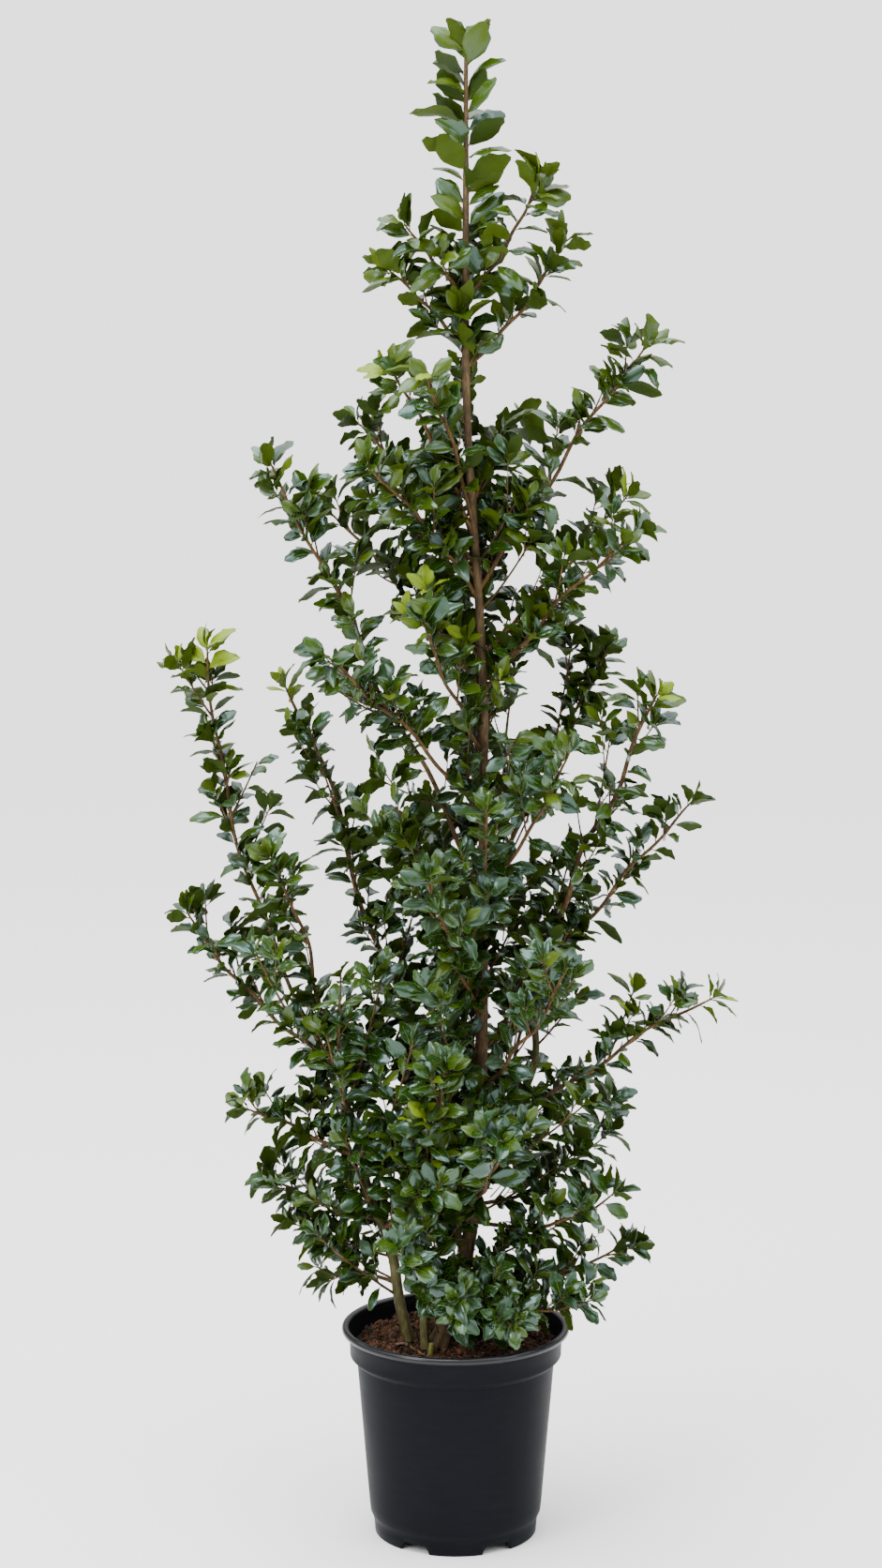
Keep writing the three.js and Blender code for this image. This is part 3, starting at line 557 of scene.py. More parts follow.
# %% [markdown]
# ## Wood with relief
# The skin of a limb is a tube whose radius swells a little at every joint, where a leaf or a side shoot
# once stood, and wanders with the noise in between. Round the foot of the trunk the flare divides into
# soft ridges that run down to the roots. A bump in the finish could fake all this, but a stem's outline
# against the light would stay as straight as a pipe's.

# %% Tubes with bark relief
JOINT_SWELL, JOINT_HALF = 0.10, 2.0  # how much wider a joint is, and over how many millimetres each way
STEM_JOINTS, SHOOT_JOINTS = 17.0, 11.0  # millimetres from joint to joint
COARSE_BARK, FINE_BARK = 3.0, 1.3  # the size of the bark's unevenness
ROOT_RIDGES = 5
BUD = 2.5  # length of the bud at a shoot's tip
TRUNK_RINGS = 640


def bark_tube(limb, start, end, rings, sides, relief, joints=STEM_JOINTS, thin=1.0, ridges=0.0, bud=0.0):
    """Ring i, side j lies at centre + radius*(side*cos a + third*sin a). The radius is the limb's times
    thin, a share or one for each ring, and times one plus three things: relief*noise, six tenths of it
    coarse and drawn out upwards; a swelling e^(-(distance to the nearest joint/half width)^2) on the side
    where that joint's leaf stood; and round the foot ridges*e^(-way from the foot/flare height)*cos of
    the ridges. The far end runs out to a point by bud."""
    shares = np.linspace(start, end, rings)
    centre = limb.at(shares)
    along = limb.direction(shares)
    third = np.cross(np.broadcast_to(limb.side, along.shape), along)
    third /= np.linalg.norm(third, axis=-1, keepdims=True)
    angle = np.linspace(0, 2 * np.pi, sides, endpoint=False)
    outward = limb.side * np.cos(angle)[None, :, None] + third[:, None, :] * np.sin(angle)[None, :, None]
    travelled = shares * limb.length
    joint = (travelled + joints / 2) % joints - joints / 2
    swelling = JOINT_SWELL * np.exp(-((joint / JOINT_HALF) ** 2))
    facing = np.cos(angle[None, :] - GOLDEN_TURN * np.round(travelled / joints)[:, None])
    base = thin * limb.radius(shares)
    rough = base[:, None, None] * outward + centre[:, None, :]
    texture = relief * (0.6 * noise(rough * (1, 1, 0.35), COARSE_BARK) + 0.4 * noise(rough, FINE_BARK, 2))
    foot = ridges * np.exp(-travelled / FLARE_HEIGHT)[:, None] * np.cos(ROOT_RIDGES * angle + 1.0)[None, :]
    radius = base[:, None] * (1 + texture + swelling[:, None] * np.clip(facing, 0, 1) + foot)
    grid = centre[:, None, :] + radius[..., None] * outward
    return grid * MM, centre[0] * MM, (centre[-1] + bud * along[-1]) * MM


def limb_piece(name, tubes, material, nodes):
    """One piece from several tubes with the same count of rings and sides."""
    grids, starts, ends = (np.stack(part) for part in zip(*tubes))
    dress(skin_mesh(name, grids, starts, ends, [material]), "bark", *nodes)


# %% Trunk and stems
leader_share = limbs["trunk"].share_at(LEADER_FROM)
thin = np.interp(np.linspace(0, leader_share, TRUNK_RINGS), *TRUNK_THINNER)
trunk = bark_tube(limbs["trunk"], 0.0, leader_share, TRUNK_RINGS, 26, 0.035, thin=thin, ridges=0.16)
limb_piece("trunk_wood", [trunk], TRUNK_BARK, ["trunk"])
for name, stem in STEMS.items():
    tube = bark_tube(limbs[name], 0.0, 1.0, 240, 20, 0.04, ridges=0.0 if stem.on else 0.12)
    limb_piece(name + "_wood", [tube], STEM_BARK, [name])

# %% [markdown]
# The boughs are the bare feet of the longest shoots. Each could be a limb of its own, but bough and shoot
# would show a knee where they meet. So the leafy part goes on with the same line and the same taper, and
# the two read as one limb. The leader is the top of the trunk in the same way.

# %% Boughs and leading shoots
FOLIAGE = ["foliage_" + name for name in SHOOTS]
slender = dict.fromkeys(SHOOTS, SHOOT_THINNER) | dict.fromkeys(STOUT_SHOOTS, 1.0)
slender["leader"] = LEADER_STOUTER
leafy_from = {name: shoot.bare for name, shoot in SHOOTS.items()}
leafy_from["leader"] = leader_share

boughs = [name for name, shoot in SHOOTS.items() if shoot.bare]
tubes = [bark_tube(limbs[name], 0.0, leafy_from[name], 60, 14, 0.05, thin=slender[name]) for name in boughs]
limb_piece("bough_wood", tubes, SHOOT_BARK, ["bough_" + name for name in boughs])

tubes = [
    bark_tube(limbs[name], first, 1.0, 90, 10, 0.05, SHOOT_JOINTS, slender[name], bud=BUD)
    for name, first in leafy_from.items()
]
limb_piece("leader_wood", tubes[:1], TRUNK_BARK, FOLIAGE[:1])
limb_piece("shoot_wood", tubes[1:], SHOOT_BARK, FOLIAGE[1:])

# %% [markdown]
# ## Twigs
# Along every shoot come side twigs, and the longer ones branch once more. A particle system could scatter
# twigs over a limb, but it knows neither the golden turn nor the ends. So the rule of the solids is
# written again and carried further, with twigs that stand closer and are finer. A twig leaves its shoot
# at about thirty-five degrees and bends up towards the light as it goes.

# %% The rule of a twig
TWIG_SPREAD = math.radians(36)  # from the shoot
TWIG_LIFT = 0.2  # how much all twigs are turned upwards
TWIG_RISE = 0.28  # how far a twig bends up by its tip, as a share of its length
TWIG_TAPER = 0.45  # the share of its radius that a twig loses
SIDE_TWIG, FINE_TWIG = 1.35, 0.95  # radius at the foot of a twig on a shoot, and of a twig on a twig
TWIGS_PER_COARSE = 1.6  # fine twigs for each one of the solids
SHOOT_A_TWIG = 75  # and one more for each such length of the shoot, in millimetres
BARE_START = 0.1  # the share of a shoot's leafy part with no twigs yet
LAST_TWIG = 0.9  # the share of a shoot's length where its twigs end
LONG_TWIG = 72  # a twig longer than this branches,
FINE_STEP = 42  # once in each such length
FINE_FROM, FINE_TO = 0.25, 0.8  # between these shares of it,
FINE_SHARE, FINE_LENGTH = 0.6, 52  # with twigs no longer than this share of its length, nor than this
FULL_TURN = 6.28
chance = np.random.default_rng(12)


def unit(vectors):
    return vectors / np.linalg.norm(vectors, axis=-1, keepdims=True)


def splay(along, side, roll, spread):
    """Directions that leave a line: along*cos(spread) + (side*cos(roll) + third*sin(roll))*sin(spread)."""
    third = unit(np.cross(np.broadcast_to(side, along.shape), along))
    out = side * np.cos(roll)[:, None] + third * np.sin(roll)[:, None]
    return unit(along * np.cos(spread)[:, None] + out * np.sin(spread)[:, None])


class Sprig:
    """A straight-footed twig that bends up: the point at t is foot + way*length*t + up*rise*length*t^2."""

    def __init__(self, foot, way, length, rise, base, tone=PLAIN, order=1):
        self.foot, self.way, self.length, self.rise = foot, way, length, rise
        self.base, self.tone, self.order = base, tone, order
        self.side = unit(np.cross(way, [0.02, 0.01, 1.0]))  # nearly upright, so that no twig is along it

    def at(self, shares):
        t = np.asarray(shares, float)[..., None]
        return self.foot + self.way * self.length * t + UP * (self.rise * self.length) * t * t

    def direction(self, shares):
        t = np.asarray(shares, float)[..., None]
        return unit(self.way + UP * (2 * self.rise) * t)

    def radius(self, shares):
        return self.base * (1 - TWIG_TAPER * np.asarray(shares, float))


def side_sprigs(line, shares, lengths, base, tone, order):
    """Twigs at the given shares of a line, turned round it by the golden turn with some chance."""
    count = len(shares)
    along = line.direction(shares)
    roll = GOLDEN_TURN * np.arange(count) + chance.uniform(0, 1.2, count) + chance.uniform(0, FULL_TURN)
    way = splay(along, line.side, roll, TWIG_SPREAD * chance.uniform(0.8, 1.15, count))
    way = unit(way + UP * TWIG_LIFT)
    feet = line.at(shares)
    return [Sprig(feet[k], way[k], lengths[k], TWIG_RISE, base, tone, order) for k in range(count)]


def side_shoot(foot, bearing, reach, rise, tone, bend=0.1, base=None):
    """A twig that is given by where its tip would be without its bend. A longer one is stouter."""
    way = level(bearing) * reach + UP * rise
    length = float(np.linalg.norm(way))
    return Sprig(foot, unit(way), length, bend, base or 1.2 + length / 200, tone)


def branched(group):
    """The group with the finer twigs that its longer members carry."""
    finer = []
    for sprig in group:
        if sprig.length > LONG_TWIG:
            shares = np.arange(FINE_FROM, FINE_TO, FINE_STEP / sprig.length)
            longest = min(sprig.length * FINE_SHARE, FINE_LENGTH)
            lengths = longest * chance.uniform(0.55, 1.1, len(shares))
            finer += side_sprigs(sprig, shares, lengths, FINE_TWIG, sprig.tone, 2)
    return group + finer


print("twigs that branch are longer than", LONG_TWIG, "mm")

# %% Side twigs
sprigs = {}
for name, shoot in SHOOTS.items():
    limb = limbs[name]
    first = leafy_from[name] + BARE_START * (1 - leafy_from[name])
    leafy = limb.length * (1 - first)
    count = round(TWIGS_PER_COARSE * shoot.twigs + leafy / SHOOT_A_TWIG)
    shares = first + (LAST_TWIG - first) * (np.arange(count) + chance.uniform(0.1, 0.9, count)) / count
    lengths = shoot.twig_length * (1.05 - 0.55 * shares) * chance.uniform(0.5, 1.15, count)
    own = side_sprigs(limb, shares, lengths, SIDE_TWIG, PLAIN, 1)
    if name in FORKS:
        share, *fork = FORKS[name]
        own.append(side_shoot(limb.at(share), *fork, bend=0.05, base=1.6))
    sprigs[name] = branched(own)
print("twigs on the shoots", sum(len(group) for group in sprigs.values()))

# %% [markdown]
# The crown isn't closed: here and there the sky shows between the shoots. Fewer leaves everywhere would
# only make it thin, so each gap is an ellipse in the upright plane through the trunk, as the camera looks
# through it, and what would close it is left off. The last three keep the feet of the stems in view. The
# trunk shows too, in stretches with no leaf in front.

# %% Gaps in the crown
GAPS = (  # x and height of the middle, half width and half height
    (148, 1612, 16, 14), (-82, 1490, 30, 24), (84, 1456, 34, 14), (44, 1440, 18, 12), (-35, 1446, 24, 16),
    (131, 1408, 16, 18), (72, 1400, 24, 18), (37, 1391, 20, 31), (-66, 1364, 24, 13), (139, 1321, 26, 12),
    (137, 1276, 26, 11), (81, 1194, 20, 20), (-113, 1163, 20, 16), (-158, 1117, 30, 15), (-70, 1104, 17, 25),
    (104, 1070, 22, 25), (-5, 1042, 13, 23), (-150, 1031, 20, 13), (73, 1010, 28, 18), (-243, 990, 24, 26),
    (-130, 974, 20, 34), (150, 963, 20, 15), (193, 960, 12, 20), (-28, 957, 16, 23), (-96, 921, 18, 11),
    (153, 895, 24, 8), (117, 884, 14, 17), (80, 866, 12, 24), (-172, 790, 14, 32), (-287, 764, 13, 15),
    (-152, 736, 27, 21), (166, 700, 14, 10), (194, 730, 16, 20), (47, 655, 10, 13), (114, 620, 25, 15),
    (150, 612, 14, 14), (78, 615, 12, 20), (46, 430, 18, 14), (-84, 330, 14, 26), (-70, 283, 20, 32),
    (-32, 255, 26, 17),
)
# lowest and highest height, and half width, of the stretches of trunk that no leaf in front hides
TRUNK_VIEWS = ((985, 1025, 10), (1115, 1160, 11), (1240, 1290, 10), (1340, 1430, 12))


def in_gap(points):
    """A point is carried along its line to the camera until y is 0, and is in a gap where
    (distance across/half width)^2 + (distance up/half height)^2 is under one."""
    eye = np.array(CAMERA_PLACE) / MM
    seen = eye + (points - eye) * (eye[1] / (eye[1] - points[..., 1]))[..., None]
    x, z, wide, high = np.array(GAPS, float).T
    off = ((seen[..., 0, None] - x) / wide) ** 2 + ((seen[..., 2, None] - z) / high) ** 2
    return (off < 1).any(axis=-1)


def hides_trunk(points):
    """Points with y under 0 that are within the half width of the trunk's line at their own height."""
    low, high, wide = np.array(TRUNK_VIEWS, float).T
    x, y, z = (points[..., None, k] for k in range(3))
    middle = trunk_at(z)[..., 0]
    return ((y < 0) & (np.abs(x - middle) < wide) & (z > low) & (z < high)).any(axis=-1)


print("gaps", len(GAPS), "views of the trunk", len(TRUNK_VIEWS))

# %% [markdown]
# The oldest wood is clothed too. Twigs come straight out of the trunk and stems and close the heart of the
# crown, and the lowest lean out over the soil. A row is a stretch of wood with its twigs, which stand by
# rule. The shoots that can be told apart in the outline are placed one by one.

# %% Rows of twigs and of single shoots
BEARING_STEP = 0.7639  # from twig to twig, of the whole range: twice the golden turn's share of a circle
# stem, lowest and highest height, middle bearing and how far to each side of it the twigs turn, how many,
# their length, and how steep they are
WOOD_TWIGS = (
    ("trunk", 256, 300, -55, 75, 9, 105, 0.2),
    ("trunk", 290, 520, 0, 180, 12, 150, 1),
    ("trunk", 520, 860, 0, 180, 14, 185, 1),
    ("trunk", 860, 1010, 90, 110, 4, 130, 1),
    ("trunk", 1010, 1300, 85, 125, 9, 130, 1),
    ("trunk", 1340, 1520, 0, 180, 7, 38, 1),
    ("left_stem", 320, 600, -90, 130, 13, 150, 1),
    ("front_stem", 262, 320, -40, 70, 5, 80, 0.3),
    ("front_stem", 300, 490, -90, 150, 7, 110, 1),
    ("right_stem", 440, 540, 0, 180, 3, 80, 1),
    ("trunk", 560, 960, -90, 75, 10, 62, 1),
)
# single side shoots by the limb they grow on: height on it, bearing, reach and rise
SIDE_SHOOTS = {
    "trunk": (
        (335, 0, 130, 50), (335, -25, 60, 35), (400, 10, 130, 60), (440, -10, 135, 90), (470, 25, 125, 70),
        (510, 5, 120, 80), (700, 200, 110, 190), (735, 178, 140, 140), (760, 15, 90, 95),
        (790, 188, 120, 70), (1150, -10, 95, 95), (1165, 18, 70, 95), (1190, 180, 125, 70),
        (1195, -15, 55, 80),
    ),
    "left_stem": (
        (300, -160, 105, 75), (320, 170, 95, 40), (350, 178, 125, 30), (500, 95, 60, 90), (540, 60, 50, 70),
    ),
    "right_stem": ((600, -10, 55, 60), (650, 10, 60, 130), (690, -30, 45, 135)),
    "left_03": ((510, 0, 14, 50),),
    "left_04": ((660, 150, 35, 60), (690, 120, 30, 60), (740, 100, 24, 45)),
    "left_05": (
        (680, 190, 30, 85), (830, 20, 32, 60), (860, 180, 24, 55), (890, 0, 32, 60), (930, 170, 20, 55),
        (950, -20, 24, 50),
    ),
    "left_07": ((690, 20, 40, 120), (740, 10, 45, 100), (800, -60, 16, 40)),
    "left_08": ((905, 180, 75, 25), (960, 186, 80, 35), (1010, 175, 70, 30), (1245, 20, 14, 38)),
    "right_07": ((880, 0, 18, 100),),
    "right_08": ((950, 20, 25, 130), (1010, 170, 10, 95)),
    "right_11": ((1290, 30, 12, 65), (1350, 70, 8, 62)),
}
# the same for those with young tips: the limb comes first and how young the tip is last
YOUNG_SHOOTS = (
    ("trunk", 1096, -150, 98, 34, LIME),
    ("trunk", 1080, -118, 40, 26, FRESH),
    ("trunk", 1052, -62, 42, 8, FRESH),
    ("left_05", 1010, 176, 40, 56, FRESH),
    ("left_05", 1040, 150, 30, 30, FRESH),
    ("front_stem", 440, -90, 55, 105, FRESH),
)
print("rows of twigs", len(WOOD_TWIGS), "limbs with single shoots", len(SIDE_SHOOTS))

# %% Twigs on the trunk and stems
def wood_sprigs(stem, low, high, bearing, spread, count, length, steep):
    """Twigs at even heights with some chance, whose bearings step through the range by the golden turn."""
    limb = limbs[stem]
    heights = low + (high - low) * (np.arange(count) + chance.uniform(0, 1, count)) / count
    step = (np.arange(count) * BEARING_STEP + chance.uniform(0, 0.2, count)) % 1
    turn = np.radians(bearing + spread * (2 * step - 1))
    lengths = length * chance.uniform(0.55, 1.15, count)
    made = []
    for height, angle, long in zip(heights, turn, lengths):
        way = unit(np.array([math.cos(angle), math.sin(angle), steep * chance.uniform(0.8, 2.2)]))
        made.append(Sprig(limb.at_height(height), way, long, TWIG_RISE * steep, 1.2 + long / 150))
    return branched(made)


for number, row in enumerate(WOOD_TWIGS):
    sprigs[f"wood_{number}"] = wood_sprigs(*row)
single_shoots = [(stem, *row, PLAIN) for stem, rows in SIDE_SHOOTS.items() for row in rows]
for number, (stem, height, *row) in enumerate([*single_shoots, *YOUNG_SHOOTS]):
    sprigs[f"side_{number}"] = branched([side_shoot(limbs[stem].at_height(height), *row)])
sprigs["leader"] = []  # it carries leaves alone
for name, group in sprigs.items():  # a twig whose middle or tip is in a gap is left off
    sprigs[name] = [sprig for sprig in group if not in_gap(sprig.at([0.6, 1.0])).any()]
every_sprig = [sprig for group in sprigs.values() for sprig in group]
print("twigs", len(every_sprig), "in all", round(sum(s.length for s in every_sprig) * MM, 1), "m")

# %% [markdown]
# Hundreds of twigs could be as many objects, but a scene is quicker with few. They are two joined meshes:
# one for the twigs on the limbs, in the shoots' brown, and one for the fine ones on them, in tan. Each twig
# is a five-sided tube of seven rings that tapers to its tip.

# %% Twig wood
def twig_tubes(group, rings=7, sides=5):
    """Rings round each twig's curve: centre + radius*(side*cos a + third*sin a)."""
    shares = np.linspace(0, 1, rings)
    centre = np.stack([sprig.at(shares) for sprig in group])
    along = np.stack([sprig.direction(shares) for sprig in group])
    radius = np.stack([sprig.radius(shares) for sprig in group])
    side = np.stack([sprig.side for sprig in group])[:, None, :]
    third = unit(np.cross(np.broadcast_to(side, along.shape), along))
    angle = np.linspace(0, 2 * np.pi, sides, endpoint=False)[None, None, :, None]
    out = side[:, :, None, :] * np.cos(angle) + third[:, :, None, :] * np.sin(angle)
    grid = centre[:, :, None, :] + radius[:, :, None, None] * out
    return grid * MM, centre[:, 0] * MM, centre[:, -1] * MM


for order, material in ((1, SHOOT_BARK), (2, TWIG_BARK)):
    group = [sprig for sprig in every_sprig if sprig.order == order]
    dress(skin_mesh(f"twigs_{order}", *twig_tubes(group), [material]), "bark", *FOLIAGE)

# %% [markdown]
# ## Where the leaves go
# Leaves climb a stem in a spiral, 137.5 degrees from one to the next and a little under a centimetre apart.
# Leaves strewn over a crown's surface would look in no way joined to it. So each grows from a stem, points
# up and out, and turns its upper side to the stem's tip, the sky and the open air. Towards a tip the
# leaves are smaller, closer and steeper, and they end in a rosette.

# %% Leaf places
LEAF_STEP = 8.5  # millimetres along a stem from leaf to leaf
LEADER_STEP = 6.8
STEP_CHANCE = 0.25  # how far a leaf may be off its place, in steps
LEAF_SPREAD, LEADER_SPREAD = 57, 46  # degrees between a leaf and its stem
SPREAD_CHANCE, CLOSING = 9, 20  # and how many more or less by chance, and less towards the tip
LEADER_BROAD, SHOOT_BROAD = 0.5, 0.25  # how far leaves are drawn to their stem's two sides
LEADER_STOUT = 1.12  # its leaves are so much longer than others at their height
TWIG_STOUT, FINE_STOUT = 0.98, 0.9  # the same for leaves on twigs, and on twigs of twigs
LEADER_LEAVES_FROM = 1440  # height from which the top of the trunk is leafy
BARE_FOOT, BARE_TWIG = 25, 0.2  # a shoot's first millimetres, and a twig's first share, with no leaves
LEAF_AT_HEIGHT = (
    (250, 330, 480, 700, 1200, 1450, 1650, 1750, 1800),
    (27, 31, 34, 31, 34, 37, 40, 45, 34),
)  # height, and how long leaves are there
LENGTH_CHANCE, YOUNG_SHORTER = 0.12, 0.15  # shares of a leaf's length
YOUNG_FADE = 16.0  # millimetres from a tip over which leaves are young
STALK_LENGTH = 3.0
TIP_LEAVES = 5  # in the rosette at a tip
TIP_LEAF_STEP = 1.6
TIP_SPREADS, TIP_LENGTHS = (48, 16), (1.15, 0.85)  # of the rosette's first and last leaf
STEMWARD, SKYWARD, OUTWARD = 0.5, 0.3, 0.5  # how far a leaf faces its stem's tip, the sky and the open
BROADSIDE = 60  # the nearer the trunk, the more the open lies to the front or back; in millimetres
TWIST_CHANCE = 27  # degrees


def leaves_on(line, first, tone, stout, step=LEAF_STEP, broad=0.0, steep=LEAF_SPREAD):
    """Places on one stem as arrays: root, way, face, length, millimetres to the tip, and tone. The turn r
    round the stem becomes r + broad*sin(2r), which draws leaves to the two sides square to line.side."""
    length = line.length
    count = max(2, int((1 - first) * length / step))
    shares = np.linspace(first, 1 - step / length, count)
    shares = shares + chance.normal(0, STEP_CHANCE, count) * step / length
    closing = 1 - TIP_LEAF_STEP * np.arange(TIP_LEAVES)[::-1] / length
    shares = np.clip(np.concatenate([shares, closing]), first, 1)
    total = len(shares)
    along = line.direction(shares)
    to_tip = (1 - shares) * length
    young = np.exp(-to_tip / YOUNG_FADE)
    roll = GOLDEN_TURN * np.arange(total) + chance.uniform(0, FULL_TURN) + chance.normal(0, 0.2, total)
    roll += broad * np.sin(2 * roll)
    spread = np.radians(steep - CLOSING * young + chance.normal(0, SPREAD_CHANCE, total))
    spread[-TIP_LEAVES:] = np.radians(np.linspace(*TIP_SPREADS, TIP_LEAVES))
    way = splay(along, line.side, roll, spread)
    way = unit(way + UP * chance.uniform(-0.15, 0.2, (total, 1)))
    root = line.at(shares) + way * (0.7 * line.radius(shares))[:, None]
    away = root - trunk_at(root[:, 2])
    nearer_side = np.sign(way[:, 1] + chance.normal(0, 0.3, total))
    outward = unit(away * (1, 1, 0) + BROADSIDE * nearer_side[:, None] * BACK)
    across = unit(np.cross(way, along * STEMWARD + UP * SKYWARD + outward * OUTWARD))
    above = np.cross(across, way)
    twist = np.radians(chance.normal(0, TWIST_CHANCE, total))[:, None]
    face = unit(above * np.cos(twist) + across * np.sin(twist))
    size = stout * chance.normal(1.0, LENGTH_CHANCE, total) * (1 - YOUNG_SHORTER * young)
    size[-TIP_LEAVES:] *= np.linspace(*TIP_LENGTHS, TIP_LEAVES)
    size *= np.interp(root[:, 2], *LEAF_AT_HEIGHT)
    return root, way, face, size, to_tip, np.full(total, tone)


batches = []
for name in SHOOTS:
    limb, tone = limbs[name], TONES[name]
    if name == "leader":
        first = limb.share_at(LEADER_LEAVES_FROM)
        batches.append(leaves_on(limb, first, tone, LEADER_STOUT, LEADER_STEP, LEADER_BROAD, LEADER_SPREAD))
    else:
        first = max(leafy_from[name], BARE_FOOT / limb.length)
        batches.append(leaves_on(limb, first, tone, 1.0, broad=SHOOT_BROAD))
for sprig in every_sprig:
    batches.append(leaves_on(sprig, BARE_TWIG, sprig.tone, TWIG_STOUT if sprig.order == 1 else FINE_STOUT))
root, way, face, size, to_tip, tone = (np.concatenate(column) for column in zip(*batches))
print("places for leaves", len(root))

# %% [markdown]
# A leaf that would cut the trunk, a stem, the pot or the soil, or close a gap, is left off. Cutting the
# meshes from one another could do this too, but would leave torn leaves. Three points of each leaf, on the
# way to its tip and at it, are tried instead.

# %% Leaves in the way
PROBES = (0.35, 0.7, 1.0)  # shares of a leaf's length
STEM_ROOM, SOIL_ROOM = 2.0, 3  # millimetres that stay free
RIM_TOP, RIM_INNER, RIM_OUTER = 264, 118, 148  # what leaves keep out of: the rim, between two radii


def too_near(points, limb, room):
    """Whether any of a leaf's probe points lies within the limb's radius plus room of its centre line."""
    shares = np.linspace(0, 1, 500)
    line, radius = limb.at(shares), limb.radius(shares)
    near = np.empty(points.shape[:2], bool)
    for column in range(points.shape[1]):
        away = np.linalg.norm(points[:, column, None] - line[None], axis=-1)
        near[:, column] = (away < radius + room).any(axis=1)
    return near.any(axis=1)


blade = size[:, None, None] * np.array(PROBES)[None, :, None]
probe = root[:, None] + way[:, None] * (STALK_LENGTH + blade)
from_axis, low = np.hypot(probe[..., 0], probe[..., 1]), probe[..., 2]
in_pot = (low < RIM_TOP) & (from_axis > RIM_INNER) & (from_axis < RIM_OUTER)
in_soil = (low < SOIL_TOP + SOIL_ROOM) & (from_axis < RIM_OUTER)
blocked = (in_pot | in_soil | in_gap(probe) | hides_trunk(probe)).any(axis=1)
for stem in ("trunk", *STEMS):
    blocked |= too_near(probe, limbs[stem], STEM_ROOM)
kept = (column[~blocked] for column in (root, way, face, size, to_tip, tone))
root, way, face, size, to_tip, tone = kept
print("leaves", len(root), "left off", int(blocked.sum()))

# %% [markdown]
# ## The leaf
# A small holly leaf is a pointed ellipse with three forward-pointing spines a side and a thin pale margin.
# Its two halves rise from the sunken midrib and curl down again at the edge, and the whole blade arches
# over towards its tip. Flat cards with a cut-out picture are the usual way for so many leaves, but each
# catches the light as a whole. So its skin is a ring of eight points carried from stalk to tip: seven over
# the upper side and one under the midrib. Smooth shading rounds these few faces.

# %% Leaf shape
ROW_SHARES = np.array([0.06, 0.2, 0.36, 0.52, 0.68, 0.82, 0.93])  # rings from stalk to tip
SPINES = np.array([0.0, 0.1, 0.8, -0.2, 1.0, -0.1, 0.8])  # how much of a spine each ring has
ACROSS = np.array([-1.0, -0.9, -0.45, 0.0, 0.45, 0.9, 1.0, 0.0])  # from edge to edge, and the lower point
IS_BELOW = np.array([0, 0, 0, 0, 0, 0, 0, 1])
LEAF_SLOTS = np.array([2, 0, 0, 0, 0, 2, 1, 1])  # 0 the upper side, 1 the underside, 2 the margin
ON_MARGIN = np.abs(ACROSS) == 1
LEAF_WIDTH = 0.56  # of its length
LEAF_THICKNESS = 0.5  # at the midrib, in millimetres
WAVES = 4  # half waves of the edge from stalk to tip
SPINE_REACH = 0.03  # of its length
RIB_SHARES = np.array([0.0, 0.26, 0.52, 0.77])  # where the midrib has a ring, after the stalk's foot
RIB_RADII = np.array([0.8, 0.75, 0.5, 0.38, 0.22])  # of the stalk and the midrib, in millimetres
RIB_CORNERS = ((-1.0, -0.35), (1.0, -0.35), (0.0, 0.75))  # sideways and over the blade, in radii
RIB_LIFT = 0.15  # millimetres over the blade


def blade_height(share, across, half_width, fold, curl, arch, twist):
    """Height of the upper skin over its flat plan, as a share of the leaf's length: half width times
    (fold*|a| - curl*|a|^2.5 + twist*a*share), less arch*share^2.2, where a runs from -1 to 1 across."""
    wing = fold * np.abs(across) - curl * np.abs(across) ** 2.5
    return half_width * (wing + twist * across * share) - arch * share**2.2


def leaf_skins(root, way, face, length, seed):
    """Half width is width/2 * sin(pi share^1.08)^0.8, plus the spines. The edge waves up and down by
    wavy*cos(waves*pi*share). The ring's lower point lies under the midrib by the thickness, so the blade
    thins to nothing at its edge. After the skin comes what rib_skins needs."""
    draw = np.random.default_rng(seed)
    count = len(root)

    def vary(low, high):
        return draw.uniform(low, high, count)[:, None, None]

    fold, curl, arch, twist = vary(0.3, 1.2), vary(0.2, 1.2), vary(0.08, 0.58), vary(-0.6, 0.6)
    wide, spiny, wavy = vary(0.84, 1.12), vary(0.4, 1.0), vary(-0.08, 0.08)
    share = ROW_SHARES[None, :, None]
    plain = LEAF_WIDTH / 2 * np.sin(np.pi * share**1.08) ** 0.8 * wide
    half = plain + SPINE_REACH * spiny * SPINES[None, :, None]
    across = ACROSS[None, None, :]
    height = blade_height(share, across, half, fold, curl, arch, twist)
    height = height + wavy * np.cos(WAVES * share * np.pi) * np.abs(across) ** 3
    length = length[:, None, None]
    under = LEAF_THICKNESS * IS_BELOW[None, None, :]
    forward = SPINE_REACH * SPINES[None, :, None] * ON_MARGIN
    sideways = unit(np.cross(way, face))
    base = root + way * STALK_LENGTH
    grid = (
        base[:, None, None, :]
        + way[:, None, None, :] * ((share + forward) * length)[..., None]
        + sideways[:, None, None, :] * (across * half * length)[..., None]
        + face[:, None, None, :] * (height * length - under)[..., None]
    )
    long, drop = length[:, :, 0], (arch * length)[:, :, 0]
    tip = base + way * long - face * drop
    reach = np.concatenate([np.full_like(long, -STALK_LENGTH), RIB_SHARES * long], axis=1)
    fall = drop * np.clip(reach / long, 0, 1) ** 2.2 - RIB_LIFT * (reach > 0)
    line = base[:, None] + way[:, None] * reach[..., None] - face[:, None] * fall[..., None]
    return grid * MM, base * MM, tip * MM, (line, sideways, face)


print("points of a leaf", ROW_SHARES.size * ACROSS.size + 2)

